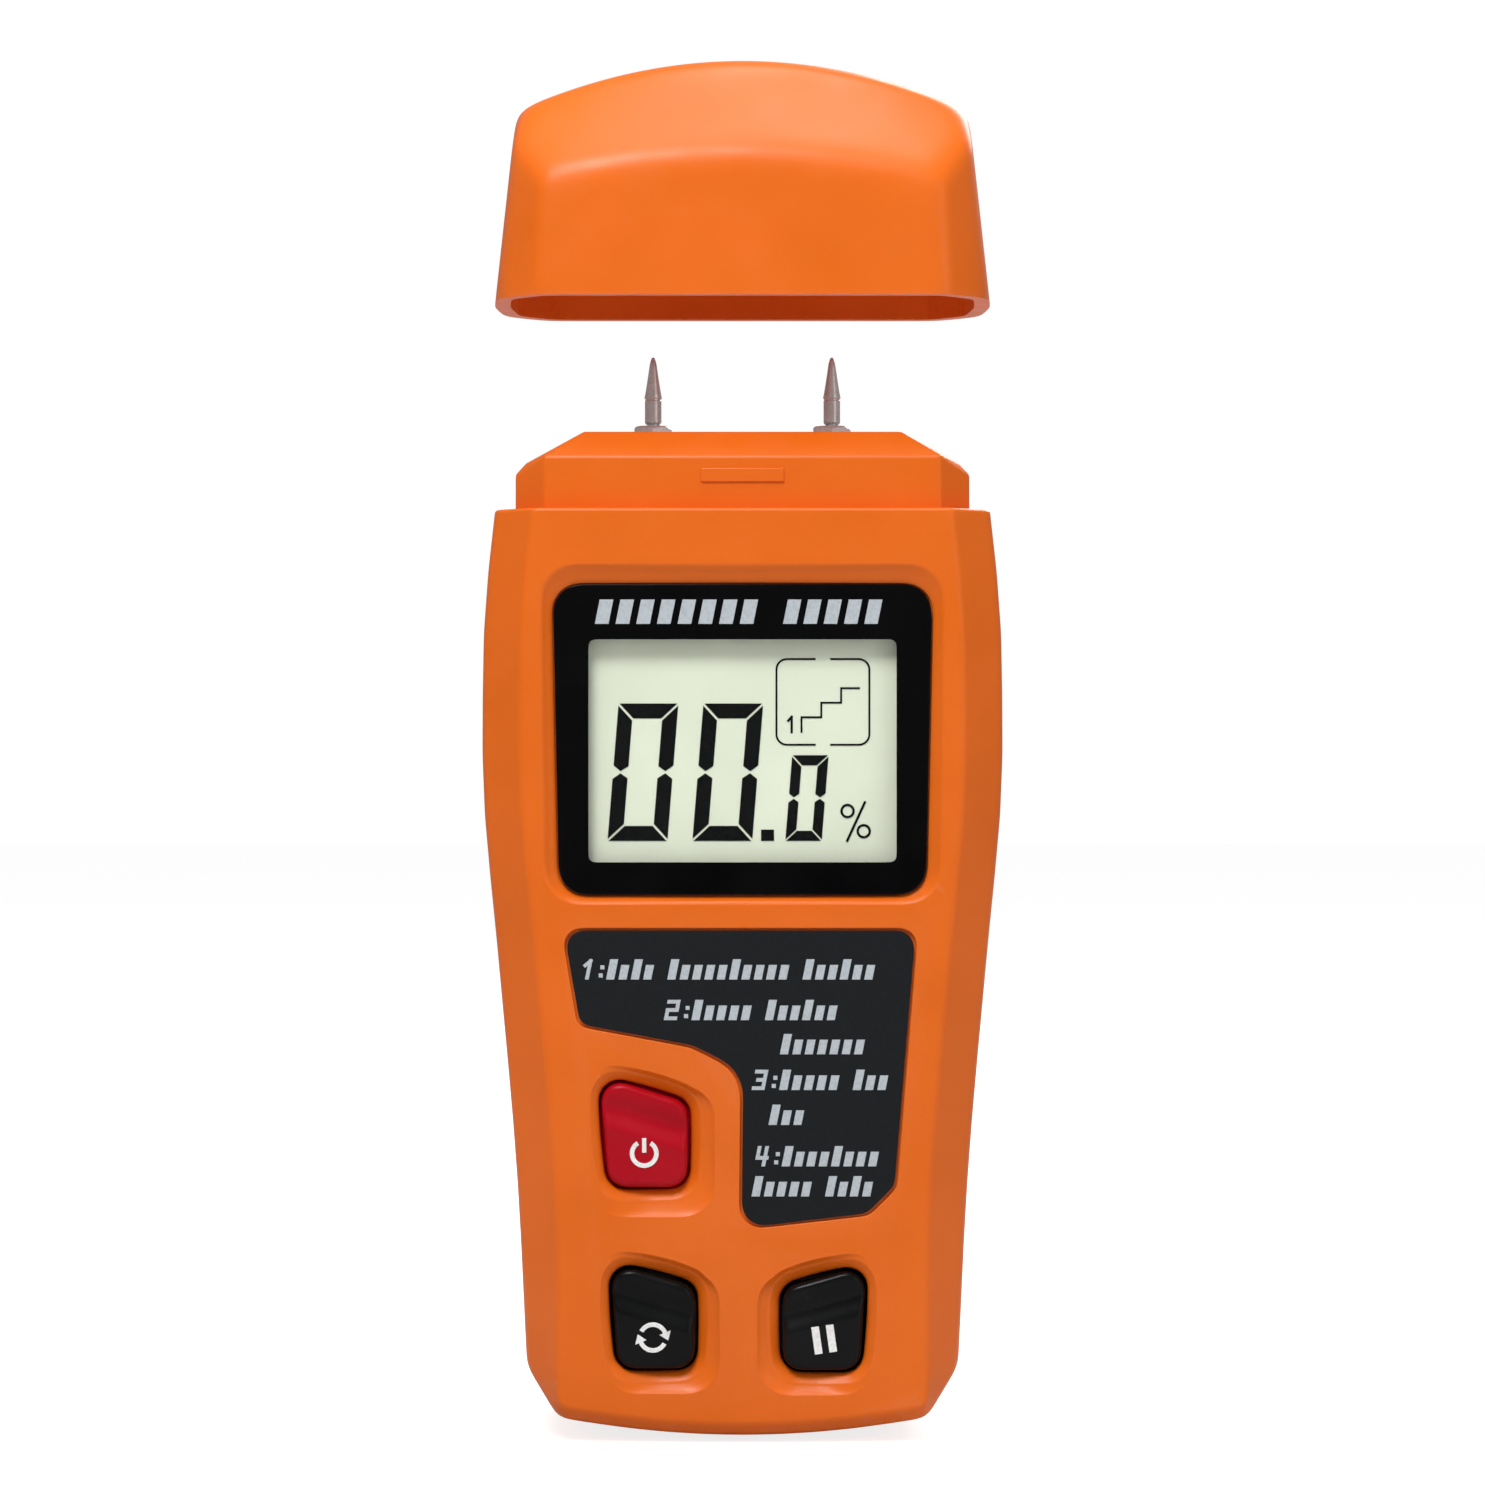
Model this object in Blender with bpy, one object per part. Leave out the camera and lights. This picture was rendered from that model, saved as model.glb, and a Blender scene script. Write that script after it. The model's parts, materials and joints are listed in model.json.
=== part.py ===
"""Two-pin wood moisture meter with a slip-on cap, one object for each physical piece.

Lengths are written in millimetres and turned into metres where a mesh is made.
X runs to the meter's right as its user sees the display, +Y to its back and +Z up
along its pins. Y = 0 is the plane where the two shells part, and Z = 0 the lowest
point of the rounded lower end. The cap is modelled off the meter, in line with the
head it slides on to.
"""
import math

import bmesh
import bpy
from mathutils import Vector

MM = 0.001
GAP = 0.3

# Body: the front outline, the same from the front and the back.
BODY_HALF_DEPTH = 16.5
SHOULDER_Z = 115.2
SIDE_PROFILE = (
    (8.7, 27.5), (33.0, 28.75), (60.0, 31.1), (79.0, 32.85), (91.0, 33.0), (103.0, 32.7), (115.2, 31.45),
)
FOOT_CORNER = (23.2, 2.3)
FOOT_CREASE_X = 22.7
FOOT_SAG = 2.3
EDGE_BEVEL = 5.0
SIDE_DRAFT = 0.7
FOOT_ROUND = 1.6
WALL = 2.0
FRONT_WALL = 2.4
PAST_PARTING = 1.0

# Head, the narrower block that the cap slides over.
HEAD_TOP_Z = 125.0
HEAD_HALF_DEPTH = 13.8
HEAD_OUTLINE = ((28.3, 112.5), (28.3, 119.6), (27.0, 121.0), (25.6, 121.8), (19.7, 125.0))
HEAD_CREASE_X = 24.5
HEAD_CREASE_Z = 121.8
HEAD_BEVEL = 3.8
DETENT_SIZE = (10.3, 0.3, 1.75)
DETENT_Z = 119.4

# Cap, from its rim up.
CAP_LIFT = 26.0
CAP_RIM_Z = SHOULDER_Z + GAP
CAP_WALL = 2.0
CAP_LEAN = 0.11
CAP_FRONT_LEAN = 0.02
CAP_CROWN = 31.0
CAP_CREASE_Y = 7.5
CAP_CREASE_DROP = 0.6
CAP_END_DROP = 6.0
CAP_FACET = 17.6
CAP_FACET_DROP = 2.8
CAP_SIDE_TOP = 20.0
CAP_CHAMFER = 5.4
ARC_STEPS = 12

# Display window, its dished surround and the display behind it.
WINDOW = ((-23.4, 105.8), (23.4, 105.8), (22.6, 67.5), (-22.6, 67.5))
WINDOW_ROUND = 3.4
WINDOW_DISH = ((-25.1, 108.4), (25.1, 108.4), (24.6, 66.3), (-24.6, 66.3))
WINDOW_DISH_ROUND = 4.4
DISH_DEPTH = 0.7
LENS_THICKNESS = 0.8
LEDGE = 2.0
LCD_SIZE = (44.0, 2.2, 36.0)
LCD_CENTRE_Z = 86.5
LCD_FRONT_Y = -13.7
HOLDER_SIZE = (48.4, 4.8, 39.6)
STRIP_SIZE = (38.0, 2.4, 2.2)

# Facia label, an L-shaped sheet in its own shallow recess.
LABEL = (
    (-22.3, 63.4), (21.6, 63.4), (19.0, 31.4), (15.6, 28.0), (-0.4, 26.2), (-0.2, 45.6), (-6.4, 48.7), (-20.3, 51.3),
)
LABEL_ROUND = (2.0, 2.0, 1.8, 1.8, 2.6, 5.0, 3.0, 1.4)
LABEL_MIDDLE = (2.0, 52.0)
LABEL_THICKNESS = 0.3
LABEL_RECESS = 0.65

# Keys: corners clockwise from the top left, and the dish each one sits in.
KEYS = {
    "power": {
        "corners": ((-17.7, 45.2), (-6.8, 41.8), (-6.8, 31.5), (-16.5, 31.5)),
        "dish": ((-19.4, 47.2), (-3.2, 43.2), (-3.2, 27.6), (-18.6, 27.6)),
        "colour": (0.52, 0.006, 0.022),
    },
    "mode": {
        "corners": ((-16.4, 22.2), (-5.9, 19.2), (-5.9, 9.1), (-15.4, 9.1)),
        "dish": ((-18.0, 24.2), (-2.6, 20.4), (-2.6, 5.9), (-17.0, 5.9)),
        "colour": (0.012, 0.012, 0.013),
    },
    "hold": {
        "corners": ((5.0, 19.0), (15.3, 21.9), (14.5, 8.9), (5.0, 8.9)),
        "dish": ((1.6, 20.2), (17.0, 24.0), (16.1, 5.7), (1.6, 5.7)),
        "colour": (0.012, 0.012, 0.013),
    },
}
KEY_ROUND = 2.3
KEY_DISH_ROUND = 4.0
KEY_DISH_DEPTH = 0.8
KEY_SPREAD = 0.7
KEY_FRONT_Y = -16.4
KEY_FLANGE_Y = (-13.8, -12.9)
KEY_RIB_Y = -12.6
KEY_CLEAR = 0.35
SWITCH_BODY = (6.0, 2.1, 6.0)
SWITCH_BORE = 1.8
PLUNGER_RADIUS = 1.5
PLUNGER_Y = (-12.3, -10.3)

# Circuit board, its posts and what is soldered to it.
BOARD_Y = (-8.6, -7.0)
BOARD_OUTLINE = (
    (-19.5, 111.0), (19.5, 111.0), (19.5, 105.4), (24.6, 105.4), (24.6, 32.0), (16.6, 28.4), (16.6, 8.6),
    (-16.6, 8.6), (-16.6, 28.4), (-24.6, 32.0), (-24.6, 105.4), (-19.5, 105.4),
)
BOARD_POSTS = ((-21.9, 61.2), (21.9, 61.2), (-22.0, 37.0), (22.0, 37.0))
BOARD_SCREW_RADIUS = 0.9
BOARD_SCREW_HEAD = (2.0, 1.3)
CHIP_SIZE = (14.0, 1.6, 14.0)
CHIP_PLACE = (4.0, 84.0)
TRIMMER_SIZE = (6.6, 4.8, 6.6)
TRIMMER_PLACE = (-12.0, 96.0)
CAPACITOR_PLACE = (-13.0, 76.0)
CAPACITOR_RADIUS = 3.1
CAPACITOR_HEIGHT = 7.0

# Pins and the terminals that carry them.
PIN_X = 11.35
PIN_SHAFT_RADIUS = 1.05
PIN_TIP_Z = 135.2
PIN_CONE_Z = 130.1
PIN_STUB = (0.8, 119.0)
COLLAR_ACROSS = 4.7
COLLAR_Z = (125.3, 126.4)
STEM = (1.7, 114.6)
STEM_BORE = (1.15, 118.4)
NUT_ACROSS = 5.6
NUT_Z = (120.4, 122.7)
LUG_Z = (119.4, 120.1)
TERMINAL_HOLE = 2.0
WIRE_RADIUS = 0.6

# Battery bay at the back, its battery, snap connector and door.
BATTERY_SIZE = (26.5, 17.5, 46.2)
BATTERY_CENTRE = (0.0, 4.35)
BATTERY_FOOT_Z = 13.0
TERMINAL_X = 6.35
SNAP_SIZE = (25.6, 15.4, 3.4)
BAY_HALF_WIDTH = 15.0
BAY_Z = (10.2, 68.3)
BAY_RIB = 1.4
BAY_RIB_FRONT_Y = 1.2
DOOR_THICKNESS = 1.7
DOOR_TAB_X = (-9.0, 9.0)
DOOR_TAB_WIDTH = 5.0
DOOR_HINGE = (16.5, 10.35)

# Case screws, driven in from the back.
CASE_SCREWS = ((-23.5, 109.4), (23.5, 109.4), (-19.8, 25.2), (19.8, 25.2))
SCREW_SHANK = 1.1
SCREW_BORE = 1.45
SCREW_CLEAR = 1.6
SCREW_HEAD = (2.2, 1.8)
COUNTERBORE = (2.6, 12.2)
CASE_POST = 2.7
REAR_POST = 3.5

PLASTIC_ORANGE = ((0.85, 0.17, 0.02), 0.42, 0.0)
NICKEL = ((0.72, 0.71, 0.68), 0.22, 1.0)
BRASS = ((0.75, 0.55, 0.25), 0.3, 1.0)
STEEL = ((0.35, 0.35, 0.36), 0.35, 1.0)


# ---------------------------------------------------------------- tools

def clear_scene():
    for obj in list(bpy.data.objects):
        bpy.data.objects.remove(obj, do_unlink=True)


def finish_of(name, colour, roughness, metallic):
    material = bpy.data.materials.new(name)
    material.use_nodes = True
    shader = material.node_tree.nodes["Principled BSDF"]
    shader.inputs["Base Color"].default_value = (*colour, 1.0)
    shader.inputs["Roughness"].default_value = roughness
    shader.inputs["Metallic"].default_value = metallic
    return material


def make(name, verts, faces, look=None, origin=(0.0, 0.0, 0.0)):
    """An object from vertices in millimetres, with its origin at a given point."""
    bm = bmesh.new()
    placed = [bm.verts.new((Vector(v) - Vector(origin)) * MM) for v in verts]
    for face in faces:
        bm.faces.new([placed[i] for i in face])
    bm.normal_update()
    bmesh.ops.triangulate(bm, faces=bm.faces)
    bmesh.ops.recalc_face_normals(bm, faces=bm.faces)
    mesh = bpy.data.meshes.new(name)
    bm.to_mesh(mesh)
    bm.free()
    mesh.shade_smooth()
    mesh.set_sharp_from_angle(angle=math.radians(30.0))
    obj = bpy.data.objects.new(name, mesh)
    obj.location = Vector(origin) * MM
    bpy.context.scene.collection.objects.link(obj)
    if look:
        mesh.materials.append(finish_of(name, *look))
    return obj


def loft(name, rings, look=None, origin=(0.0, 0.0, 0.0)):
    """A closed body through rings of equally many points, flat at both ends."""
    count = len(rings[0])
    verts = [p for ring in rings for p in ring]
    faces = [list(range(count))]
    for k in range(len(rings) - 1):
        for i in range(count):
            j = (i + 1) % count
            faces.append([k * count + i, k * count + j, (k + 1) * count + j, (k + 1) * count + i])
    faces.append(list(range((len(rings) - 1) * count, len(rings) * count)))
    return make(name, verts, faces, look, origin)


def hull(name, points, look=None):
    """The convex body round a set of points."""
    bm = bmesh.new()
    for point in points:
        bm.verts.new(Vector(point) * MM)
    found = bmesh.ops.convex_hull(bm, input=bm.verts)
    inner = {e for e in found["geom_interior"] + found["geom_unused"] if isinstance(e, bmesh.types.BMVert)}
    bmesh.ops.delete(bm, geom=list(inner), context="VERTS")
    bmesh.ops.recalc_face_normals(bm, faces=bm.faces)
    mesh = bpy.data.meshes.new(name)
    bm.to_mesh(mesh)
    bm.free()
    mesh.shade_smooth()
    mesh.set_sharp_from_angle(angle=math.radians(20.0))
    obj = bpy.data.objects.new(name, mesh)
    bpy.context.scene.collection.objects.link(obj)
    if look:
        mesh.materials.append(finish_of(name, *look))
    return obj


def rounded(corners, radii, steps=5):
    """A polygon's outline with a true arc of the given radius at each corner."""
    if not isinstance(radii, tuple):
        radii = (radii,) * len(corners)
    out = []
    for i, corner in enumerate(corners):
        here = Vector(corner)
        back = (Vector(corners[i - 1]) - here).normalized()
        ahead = (Vector(corners[(i + 1) % len(corners)]) - here).normalized()
        half = math.acos(max(-1.0, min(1.0, back.dot(ahead)))) / 2
        reach = radii[i] / math.tan(half)
        centre = here + (back + ahead).normalized() * (radii[i] / math.sin(half))
        start = here + back * reach - centre
        turn = math.pi - 2 * half
        side = 1.0 if back.x * ahead.y - back.y * ahead.x < 0 else -1.0
        for k in range(steps + 1):
            angle = side * turn * k / steps
            c, s = math.cos(angle), math.sin(angle)
            out.append((centre.x + c * start.x - s * start.y, centre.y + s * start.x + c * start.y))
    return out


def away(value, middle):
    return 1.0 if value > middle else -1.0


def grown(corners, by):
    """Corners moved away from their middle, by about the same distance on every side."""
    mid_x = sum(c[0] for c in corners) / len(corners)
    mid_z = sum(c[1] for c in corners) / len(corners)
    return tuple((x + by * away(x, mid_x), z + by * away(z, mid_z)) for x, z in corners)


def plate(name, outline, y_from, y_to, look=None, origin=(0.0, 0.0, 0.0)):
    """A flat plate with an outline in X and Z, between two depths."""
    return loft(name, [[(x, y, z) for x, z in outline] for y in (y_from, y_to)], look, origin)


def brick(name, low, high, look=None, origin=(0.0, 0.0, 0.0)):
    outline = ((low[0], low[2]), (high[0], low[2]), (high[0], high[2]), (low[0], high[2]))
    return plate(name, outline, low[1], high[1], look, origin)


def centred(name, middle, size, look=None):
    low = [m - s / 2 for m, s in zip(middle, size)]
    high = [m + s / 2 for m, s in zip(middle, size)]
    return brick(name, low, high, look)


def turned(name, profile, base, axis, look=None, steps=24, phase=0.0, origin=None):
    """A solid of revolution: profile holds (radius, distance along the axis) pairs."""
    across = {"Y": (Vector((1, 0, 0)), Vector((0, 0, 1)), Vector((0, 1, 0))),
              "Z": (Vector((1, 0, 0)), Vector((0, 1, 0)), Vector((0, 0, 1)))}[axis]
    rings = []
    for radius, along in profile:
        ring = []
        for k in range(steps):
            angle = phase + 2 * math.pi * k / steps
            point = Vector(base) + across[2] * along
            ring.append(tuple(point + across[0] * radius * math.cos(angle) + across[1] * radius * math.sin(angle)))
        rings.append(ring)
    return loft(name, rings, look, origin or (0.0, 0.0, 0.0))


def tube(name, path, radius, look=None, steps=10):
    """A round rod or wire swept along a path of points."""
    points = [Vector(p) for p in path]
    rings = []
    up = Vector((1, 0, 0))
    for i, point in enumerate(points):
        way = (points[min(i + 1, len(points) - 1)] - points[max(i - 1, 0)]).normalized()
        up = (up - way * up.dot(way)).normalized()
        side = way.cross(up)
        rings.append([
            tuple(point + (up * math.cos(a) + side * math.sin(a)) * radius)
            for a in (2 * math.pi * k / steps for k in range(steps))
        ])
    return loft(name, rings, look)


def curved(points, steps=6):
    """A smooth path through points, as a Catmull-Rom curve."""
    pts = [Vector(p) for p in points]
    pts = [pts[0] * 2 - pts[1]] + pts + [pts[-1] * 2 - pts[-2]]
    out = []
    for i in range(1, len(pts) - 2):
        a, b, c, d = pts[i - 1], pts[i], pts[i + 1], pts[i + 2]
        for k in range(steps):
            t = k / steps
            out.append(0.5 * (2 * b + (c - a) * t + (2 * a - 5 * b + 4 * c - d) * t ** 2
                              + (3 * b - a - 3 * c + d) * t ** 3))
    return out + [pts[-2]]


def use(target, tool, operation):
    """Adds or removes the tool's volume, and keeps the tool as a hidden guide."""
    modifier = target.modifiers.new(tool.name, "BOOLEAN")
    modifier.operation = operation
    modifier.solver = "EXACT"
    modifier.object = tool
    tool.hide_render = True
    tool.display_type = "WIRE"


def cut(target, *tools):
    for tool in tools:
        use(target, tool, "DIFFERENCE")


def join(target, *tools):
    for tool in tools:
        use(target, tool, "UNION")


# ---------------------------------------------------------------- case

def side_half_width(z):
    """Half the body's width at a height, as a smooth curve through the profile."""
    rows = SIDE_PROFILE
    for i in range(len(rows) - 1):
        if z <= rows[i + 1][0] or i == len(rows) - 2:
            break
    (z0, w0), (z1, w1) = rows[i], rows[i + 1]
    before = rows[max(i - 1, 0)]
    after = rows[min(i + 2, len(rows) - 1)]
    span = z1 - z0
    slope0 = (w1 - before[1]) / (z1 - before[0]) * span
    slope1 = (after[1] - w0) / (after[0] - z0) * span
    t = (z - z0) / span
    return ((2 * t ** 3 - 3 * t ** 2 + 1) * w0 + (t ** 3 - 2 * t ** 2 + t) * slope0
            + (3 * t ** 2 - 2 * t ** 3) * w1 + (t ** 3 - t ** 2) * slope1)


def body_half_outline(inset, top):
    """Right half of the body's front outline, from the top down to the middle of the foot."""
    low = SIDE_PROFILE[0][0]
    heights = [top + (low - top) * k / 14 for k in range(15)]
    side = [(side_half_width(z) - inset, z) for z in heights]
    chamfer = [(FOOT_CORNER[0] - inset * 0.6, FOOT_CORNER[1] + inset * 0.75)]
    foot = []
    for k in range(1, 6):
        x = chamfer[0][0] * (1 - k / 5)
        rise = FOOT_SAG * (x / FOOT_CORNER[0]) ** 2
        foot.append((x, rise + inset))
    return side + chamfer + foot


def mirrored(half):
    """A whole outline from its right half, whose last point is on the middle line."""
    return half + [(-x, z) for x, z in reversed(half[:-1])]


def clamped(outline, limit_x, limit_z):
    return [(math.copysign(min(abs(x), limit_x(z)), x), min(z, limit_z)) for x, z in outline]


def body_rings(inset, front, top, sign, start):
    """Rings of half the body from the parting plane out to a flat front or back."""
    base = mirrored(body_half_outline(inset, top))
    drafted = mirrored(body_half_outline(inset + SIDE_DRAFT, top))
    rings = [[(x, start, z) for x, z in base]]
    for depth in (EDGE_BEVEL, FOOT_ROUND, 0.0):
        def limit(z, depth=depth):
            crease = max(side_half_width(z) - SIDE_DRAFT - EDGE_BEVEL, FOOT_CREASE_X)
            return crease - inset + depth
        lift = FOOT_ROUND * (1 - depth / FOOT_ROUND) if depth < FOOT_ROUND else 0.0
        ring = clamped(drafted, limit, top)
        ring = [(x, max(z, z + lift * (z < 8.0))) for x, z in ring]
        rings.append([(x, sign * (front - depth), z) for x, z in ring])
    return rings


def head_points(inset, front, sign, start, low):
    """Corner points of half the head, bevelled towards its front and its top."""
    half = [(HEAD_OUTLINE[0][0] - inset, low)]
    half += [(x - inset, z - inset) for x, z in HEAD_OUTLINE[1:]]
    outline = half + [(-x, z) for x, z in half]
    points = [(x, start, z) for x, z in outline]
    for depth in (HEAD_BEVEL, HEAD_TOP_Z - HEAD_CREASE_Z, 0.0):
        ring = clamped(outline, lambda z, d=depth: HEAD_CREASE_X - inset + d, HEAD_CREASE_Z - inset + depth)
        points += [(x, sign * (front - depth), z) for x, z in ring]
    return points


def half_case(name, sign, wall):
    """One shell: half the body and half the head, hollowed to its wall."""
    past = -sign * PAST_PARTING
    shell = loft(name, body_rings(0.0, BODY_HALF_DEPTH, SHOULDER_Z, sign, past), PLASTIC_ORANGE)
    join(shell, hull(name + "_head", head_points(0.0, HEAD_HALF_DEPTH, sign, past * 1.5, HEAD_OUTLINE[0][1])))
    cut(shell, loft(
        name + "_hollow",
        body_rings(WALL, BODY_HALF_DEPTH - wall, SHOULDER_Z - WALL, sign, past * 2.0),
    ))
    cut(shell, hull(
        name + "_head_hollow",
        head_points(WALL, HEAD_HALF_DEPTH - WALL, sign, past * 2.5, HEAD_OUTLINE[0][1] - 3.0),
    ))
    far = past * 4.0
    cut(shell, brick(name + "_parting", (-50.0, min(0.0, far), -10.0), (50.0, max(0.0, far), 140.0)))
    return shell


def pocket(name, outer, inner, radii, depth):
    """A dish in the front face: wide at the surface, narrower at its floor."""
    surface = -BODY_HALF_DEPTH
    top = rounded(outer, radii[0])
    floor = rounded(inner, radii[1])
    above = [(2 * a[0] - b[0], 2 * a[1] - b[1]) for a, b in zip(top, floor)]
    rings = [(above, surface - depth), (floor, surface + depth)]
    return loft(name, [[(x, y, z) for x, z in ring] for ring, y in rings])


def post(name, place, radius, y_from, y_to, steps=20, phase=0.0):
    x, z = place
    return turned(name, ((radius, y_from), (radius, y_to)), (x, 0.0, z), "Y", steps=steps, phase=phase)


def front_shell():
    shell = half_case("front_shell", -1, FRONT_WALL)
    inner_y = -BODY_HALF_DEPTH + FRONT_WALL
    for i, place in enumerate(CASE_SCREWS):
        join(shell, post(f"front_post_{i}", place, CASE_POST, inner_y - 0.5, -GAP))
    for i, place in enumerate(BOARD_POSTS):
        join(shell, post(f"board_post_{i}", place, 2.2, inner_y - 0.5, BOARD_Y[0] - GAP))
    for i, place in enumerate(CASE_SCREWS):
        cut(shell, post(f"front_bore_{i}", place, SCREW_BORE, inner_y + 1.5, 1.0, 16, 0.1))
    for i, place in enumerate(BOARD_POSTS):
        cut(shell, post(f"board_bore_{i}", place, BOARD_SCREW_RADIUS + 0.3, inner_y + 0.6, 0.0, 16, 0.1))
    cut_window(shell)
    cut_label_recess(shell)
    for name, key in KEYS.items():
        cut(shell, pocket(name + "_dish", key["dish"], grown(key["corners"], 1.1),
                          (KEY_DISH_ROUND, KEY_ROUND + 0.8), KEY_DISH_DEPTH))
        hole = rounded(grown(key["corners"], KEY_CLEAR), KEY_ROUND + KEY_CLEAR)
        cut(shell, plate(name + "_hole", hole, -BODY_HALF_DEPTH - 1.0, -10.0))
    width, proud, tall = DETENT_SIZE
    join(shell, brick("detent_rib",
                      (-width / 2, -HEAD_HALF_DEPTH - proud, DETENT_Z - tall / 2),
                      (width / 2, -HEAD_HALF_DEPTH + 1.0, DETENT_Z + tall / 2)))
    cut_terminal_holes(shell, "front")
    return shell


def cut_window(shell):
    cut(shell, pocket("window_dish", WINDOW_DISH, WINDOW, (WINDOW_DISH_ROUND, WINDOW_ROUND), DISH_DEPTH))
    seat = rounded(grown(WINDOW, GAP), WINDOW_ROUND)
    seat_y = -BODY_HALF_DEPTH + DISH_DEPTH + LENS_THICKNESS + GAP
    cut(shell, plate("window_seat", seat, -BODY_HALF_DEPTH - 1.0, seat_y))
    opening = rounded(grown(WINDOW, -LEDGE), WINDOW_ROUND - 1.0)
    cut(shell, plate("window_opening", opening, -BODY_HALF_DEPTH - 1.0, -10.0))


def cut_label_recess(shell):
    outline = rounded(LABEL, LABEL_ROUND)
    cut(shell, plate("label_recess", outline, -BODY_HALF_DEPTH - 1.0, -BODY_HALF_DEPTH + LABEL_RECESS))


def cut_terminal_holes(shell, which):
    for side, x in (("left", -PIN_X), ("right", PIN_X)):
        hole = ((TERMINAL_HOLE, 118.0), (TERMINAL_HOLE, HEAD_TOP_Z + 1.0))
        cut(shell, turned(f"{which}_terminal_hole_{side}", hole, (x, 0.0, 0.0), "Z", steps=20, phase=0.07))


def rear_shell():
    shell = half_case("rear_shell", 1, WALL)
    inner_y = BODY_HALF_DEPTH - WALL
    for i, place in enumerate(CASE_SCREWS):
        join(shell, post(f"rear_post_{i}", place, REAR_POST, GAP, inner_y + 0.5))
    ribs = (
        ("left", (-BAY_HALF_WIDTH - BAY_RIB, BAY_Z[0] - 3.0), (-BAY_HALF_WIDTH, BAY_Z[1] + BAY_RIB)),
        ("right", (BAY_HALF_WIDTH, BAY_Z[0] - 3.0), (BAY_HALF_WIDTH + BAY_RIB, BAY_Z[1] + BAY_RIB)),
        ("top", (-BAY_HALF_WIDTH - 0.5, BAY_Z[1]), (BAY_HALF_WIDTH + 0.5, BAY_Z[1] + BAY_RIB)),
        ("bottom", (-BAY_HALF_WIDTH - 0.5, BAY_Z[0] - 2.6), (BAY_HALF_WIDTH + 0.5, BAY_Z[0] - 1.2)),
    )
    for name, low, high in ribs:
        join(shell, brick("bay_rib_" + name, (low[0], BAY_RIB_FRONT_Y, low[1]), (high[0], inner_y + 0.5, high[1])))
    door = ((-BAY_HALF_WIDTH, BAY_Z[0]), (BAY_HALF_WIDTH, BAY_Z[0]),
            (BAY_HALF_WIDTH, BAY_Z[1]), (-BAY_HALF_WIDTH, BAY_Z[1]))
    cut(shell, plate("bay_opening", rounded(door, 1.2), inner_y - 1.0, BODY_HALF_DEPTH + 1.0))
    cut(shell, brick("bay_wire_notch", (-5.0, 0.0, BAY_Z[1] - 1.0), (5.0, 6.0, BAY_Z[1] + BAY_RIB + 1.0)))
    for i, x in enumerate(DOOR_TAB_X):
        half = DOOR_TAB_WIDTH / 2 + 0.5
        cut(shell, brick(f"tab_window_{i}", (x - half, 11.8, 6.5), (x + half, inner_y, BAY_Z[0] + 0.5)))
    for i, place in enumerate(CASE_SCREWS):
        radius, floor = COUNTERBORE
        stepped = ((SCREW_CLEAR, -1.0), (SCREW_CLEAR, floor), (radius, floor), (radius, BODY_HALF_DEPTH + 1.0))
        cut(shell, turned(f"rear_bore_{i}", stepped, (place[0], 0.0, place[1]), "Y", steps=18, phase=0.1))
    cut_terminal_holes(shell, "rear")
    return shell


def screw(name, place, radius, head, seat_y, tip_y, steps=16):
    """A pan-head screw along Y, driven towards the front, with a cross slot in its head."""
    x, z = place
    profile = (
        (radius * 0.4, tip_y), (radius, tip_y + radius), (radius, seat_y),
        (head[0], seat_y), (head[0], seat_y + head[1] * 0.6), (head[0] * 0.7, seat_y + head[1]),
    )
    body = turned(name, profile, (x, 0.0, z), "Y", STEEL, steps)
    top = seat_y + head[1]
    for k, (half_x, half_z) in enumerate(((head[0] * 0.55, 0.25), (0.25, head[0] * 0.55))):
        cut(body, brick(f"{name}_slot_{k}", (x - half_x, top - 0.7, z - half_z), (x + half_x, top + 0.5, z + half_z)))
    return body


def case_screws():
    names = ("upper_left", "upper_right", "lower_left", "lower_right")
    for name, place in zip(names, CASE_SCREWS):
        screw("case_screw_" + name, place, SCREW_SHANK, SCREW_HEAD, COUNTERBORE[1] + GAP, -10.5)


# ---------------------------------------------------------------- cap

def cap_points(inset, base):
    """Corner points of the cap's form, all moved inwards by the inset."""
    half_width = side_half_width(SHOULDER_Z) - inset
    half_depth = BODY_HALF_DEPTH - inset
    rim = CAP_RIM_Z + CAP_LIFT
    corner_shift = inset * (math.sqrt(2) - 1)
    side_y = BODY_HALF_DEPTH - CAP_CHAMFER - corner_shift
    points = []

    def add(x, y, up):
        for sx in (-1, 1):
            for sy in (-1, 1):
                points.append((sx * x, sy * y, rim + up))

    def lean(up):
        return CAP_LEAN * up

    corner = half_width + inset - SIDE_DRAFT - CAP_CHAMFER - corner_shift
    ridge_top = CAP_CROWN - CAP_END_DROP - inset
    side_top = CAP_SIDE_TOP - inset * 0.6
    front_top = CAP_FACET - CAP_FACET_DROP - inset * 0.4
    add(half_width - lean(base), 0.0, base)
    add(half_width - lean(ridge_top), 0.0, ridge_top)
    add(half_width - SIDE_DRAFT - lean(base), side_y, base)
    add(half_width - SIDE_DRAFT - lean(side_top), side_y, side_top)
    add(corner, half_depth - CAP_FRONT_LEAN * base, base)
    for k in range(ARC_STEPS + 1):
        share = k / ARC_STEPS
        add(corner * share - lean(front_top) * 0.5 * share, half_depth - CAP_FRONT_LEAN * front_top,
            front_top + CAP_FACET_DROP * (1 - share ** 2))
        reach = (half_width - lean(ridge_top)) * share
        crown = CAP_CROWN - inset - CAP_END_DROP * share ** 2
        add(reach * 0.985, 0.0, crown)
        add(reach * 0.95, CAP_CREASE_Y - inset * 0.4, crown - CAP_CREASE_DROP)
    return points


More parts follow.
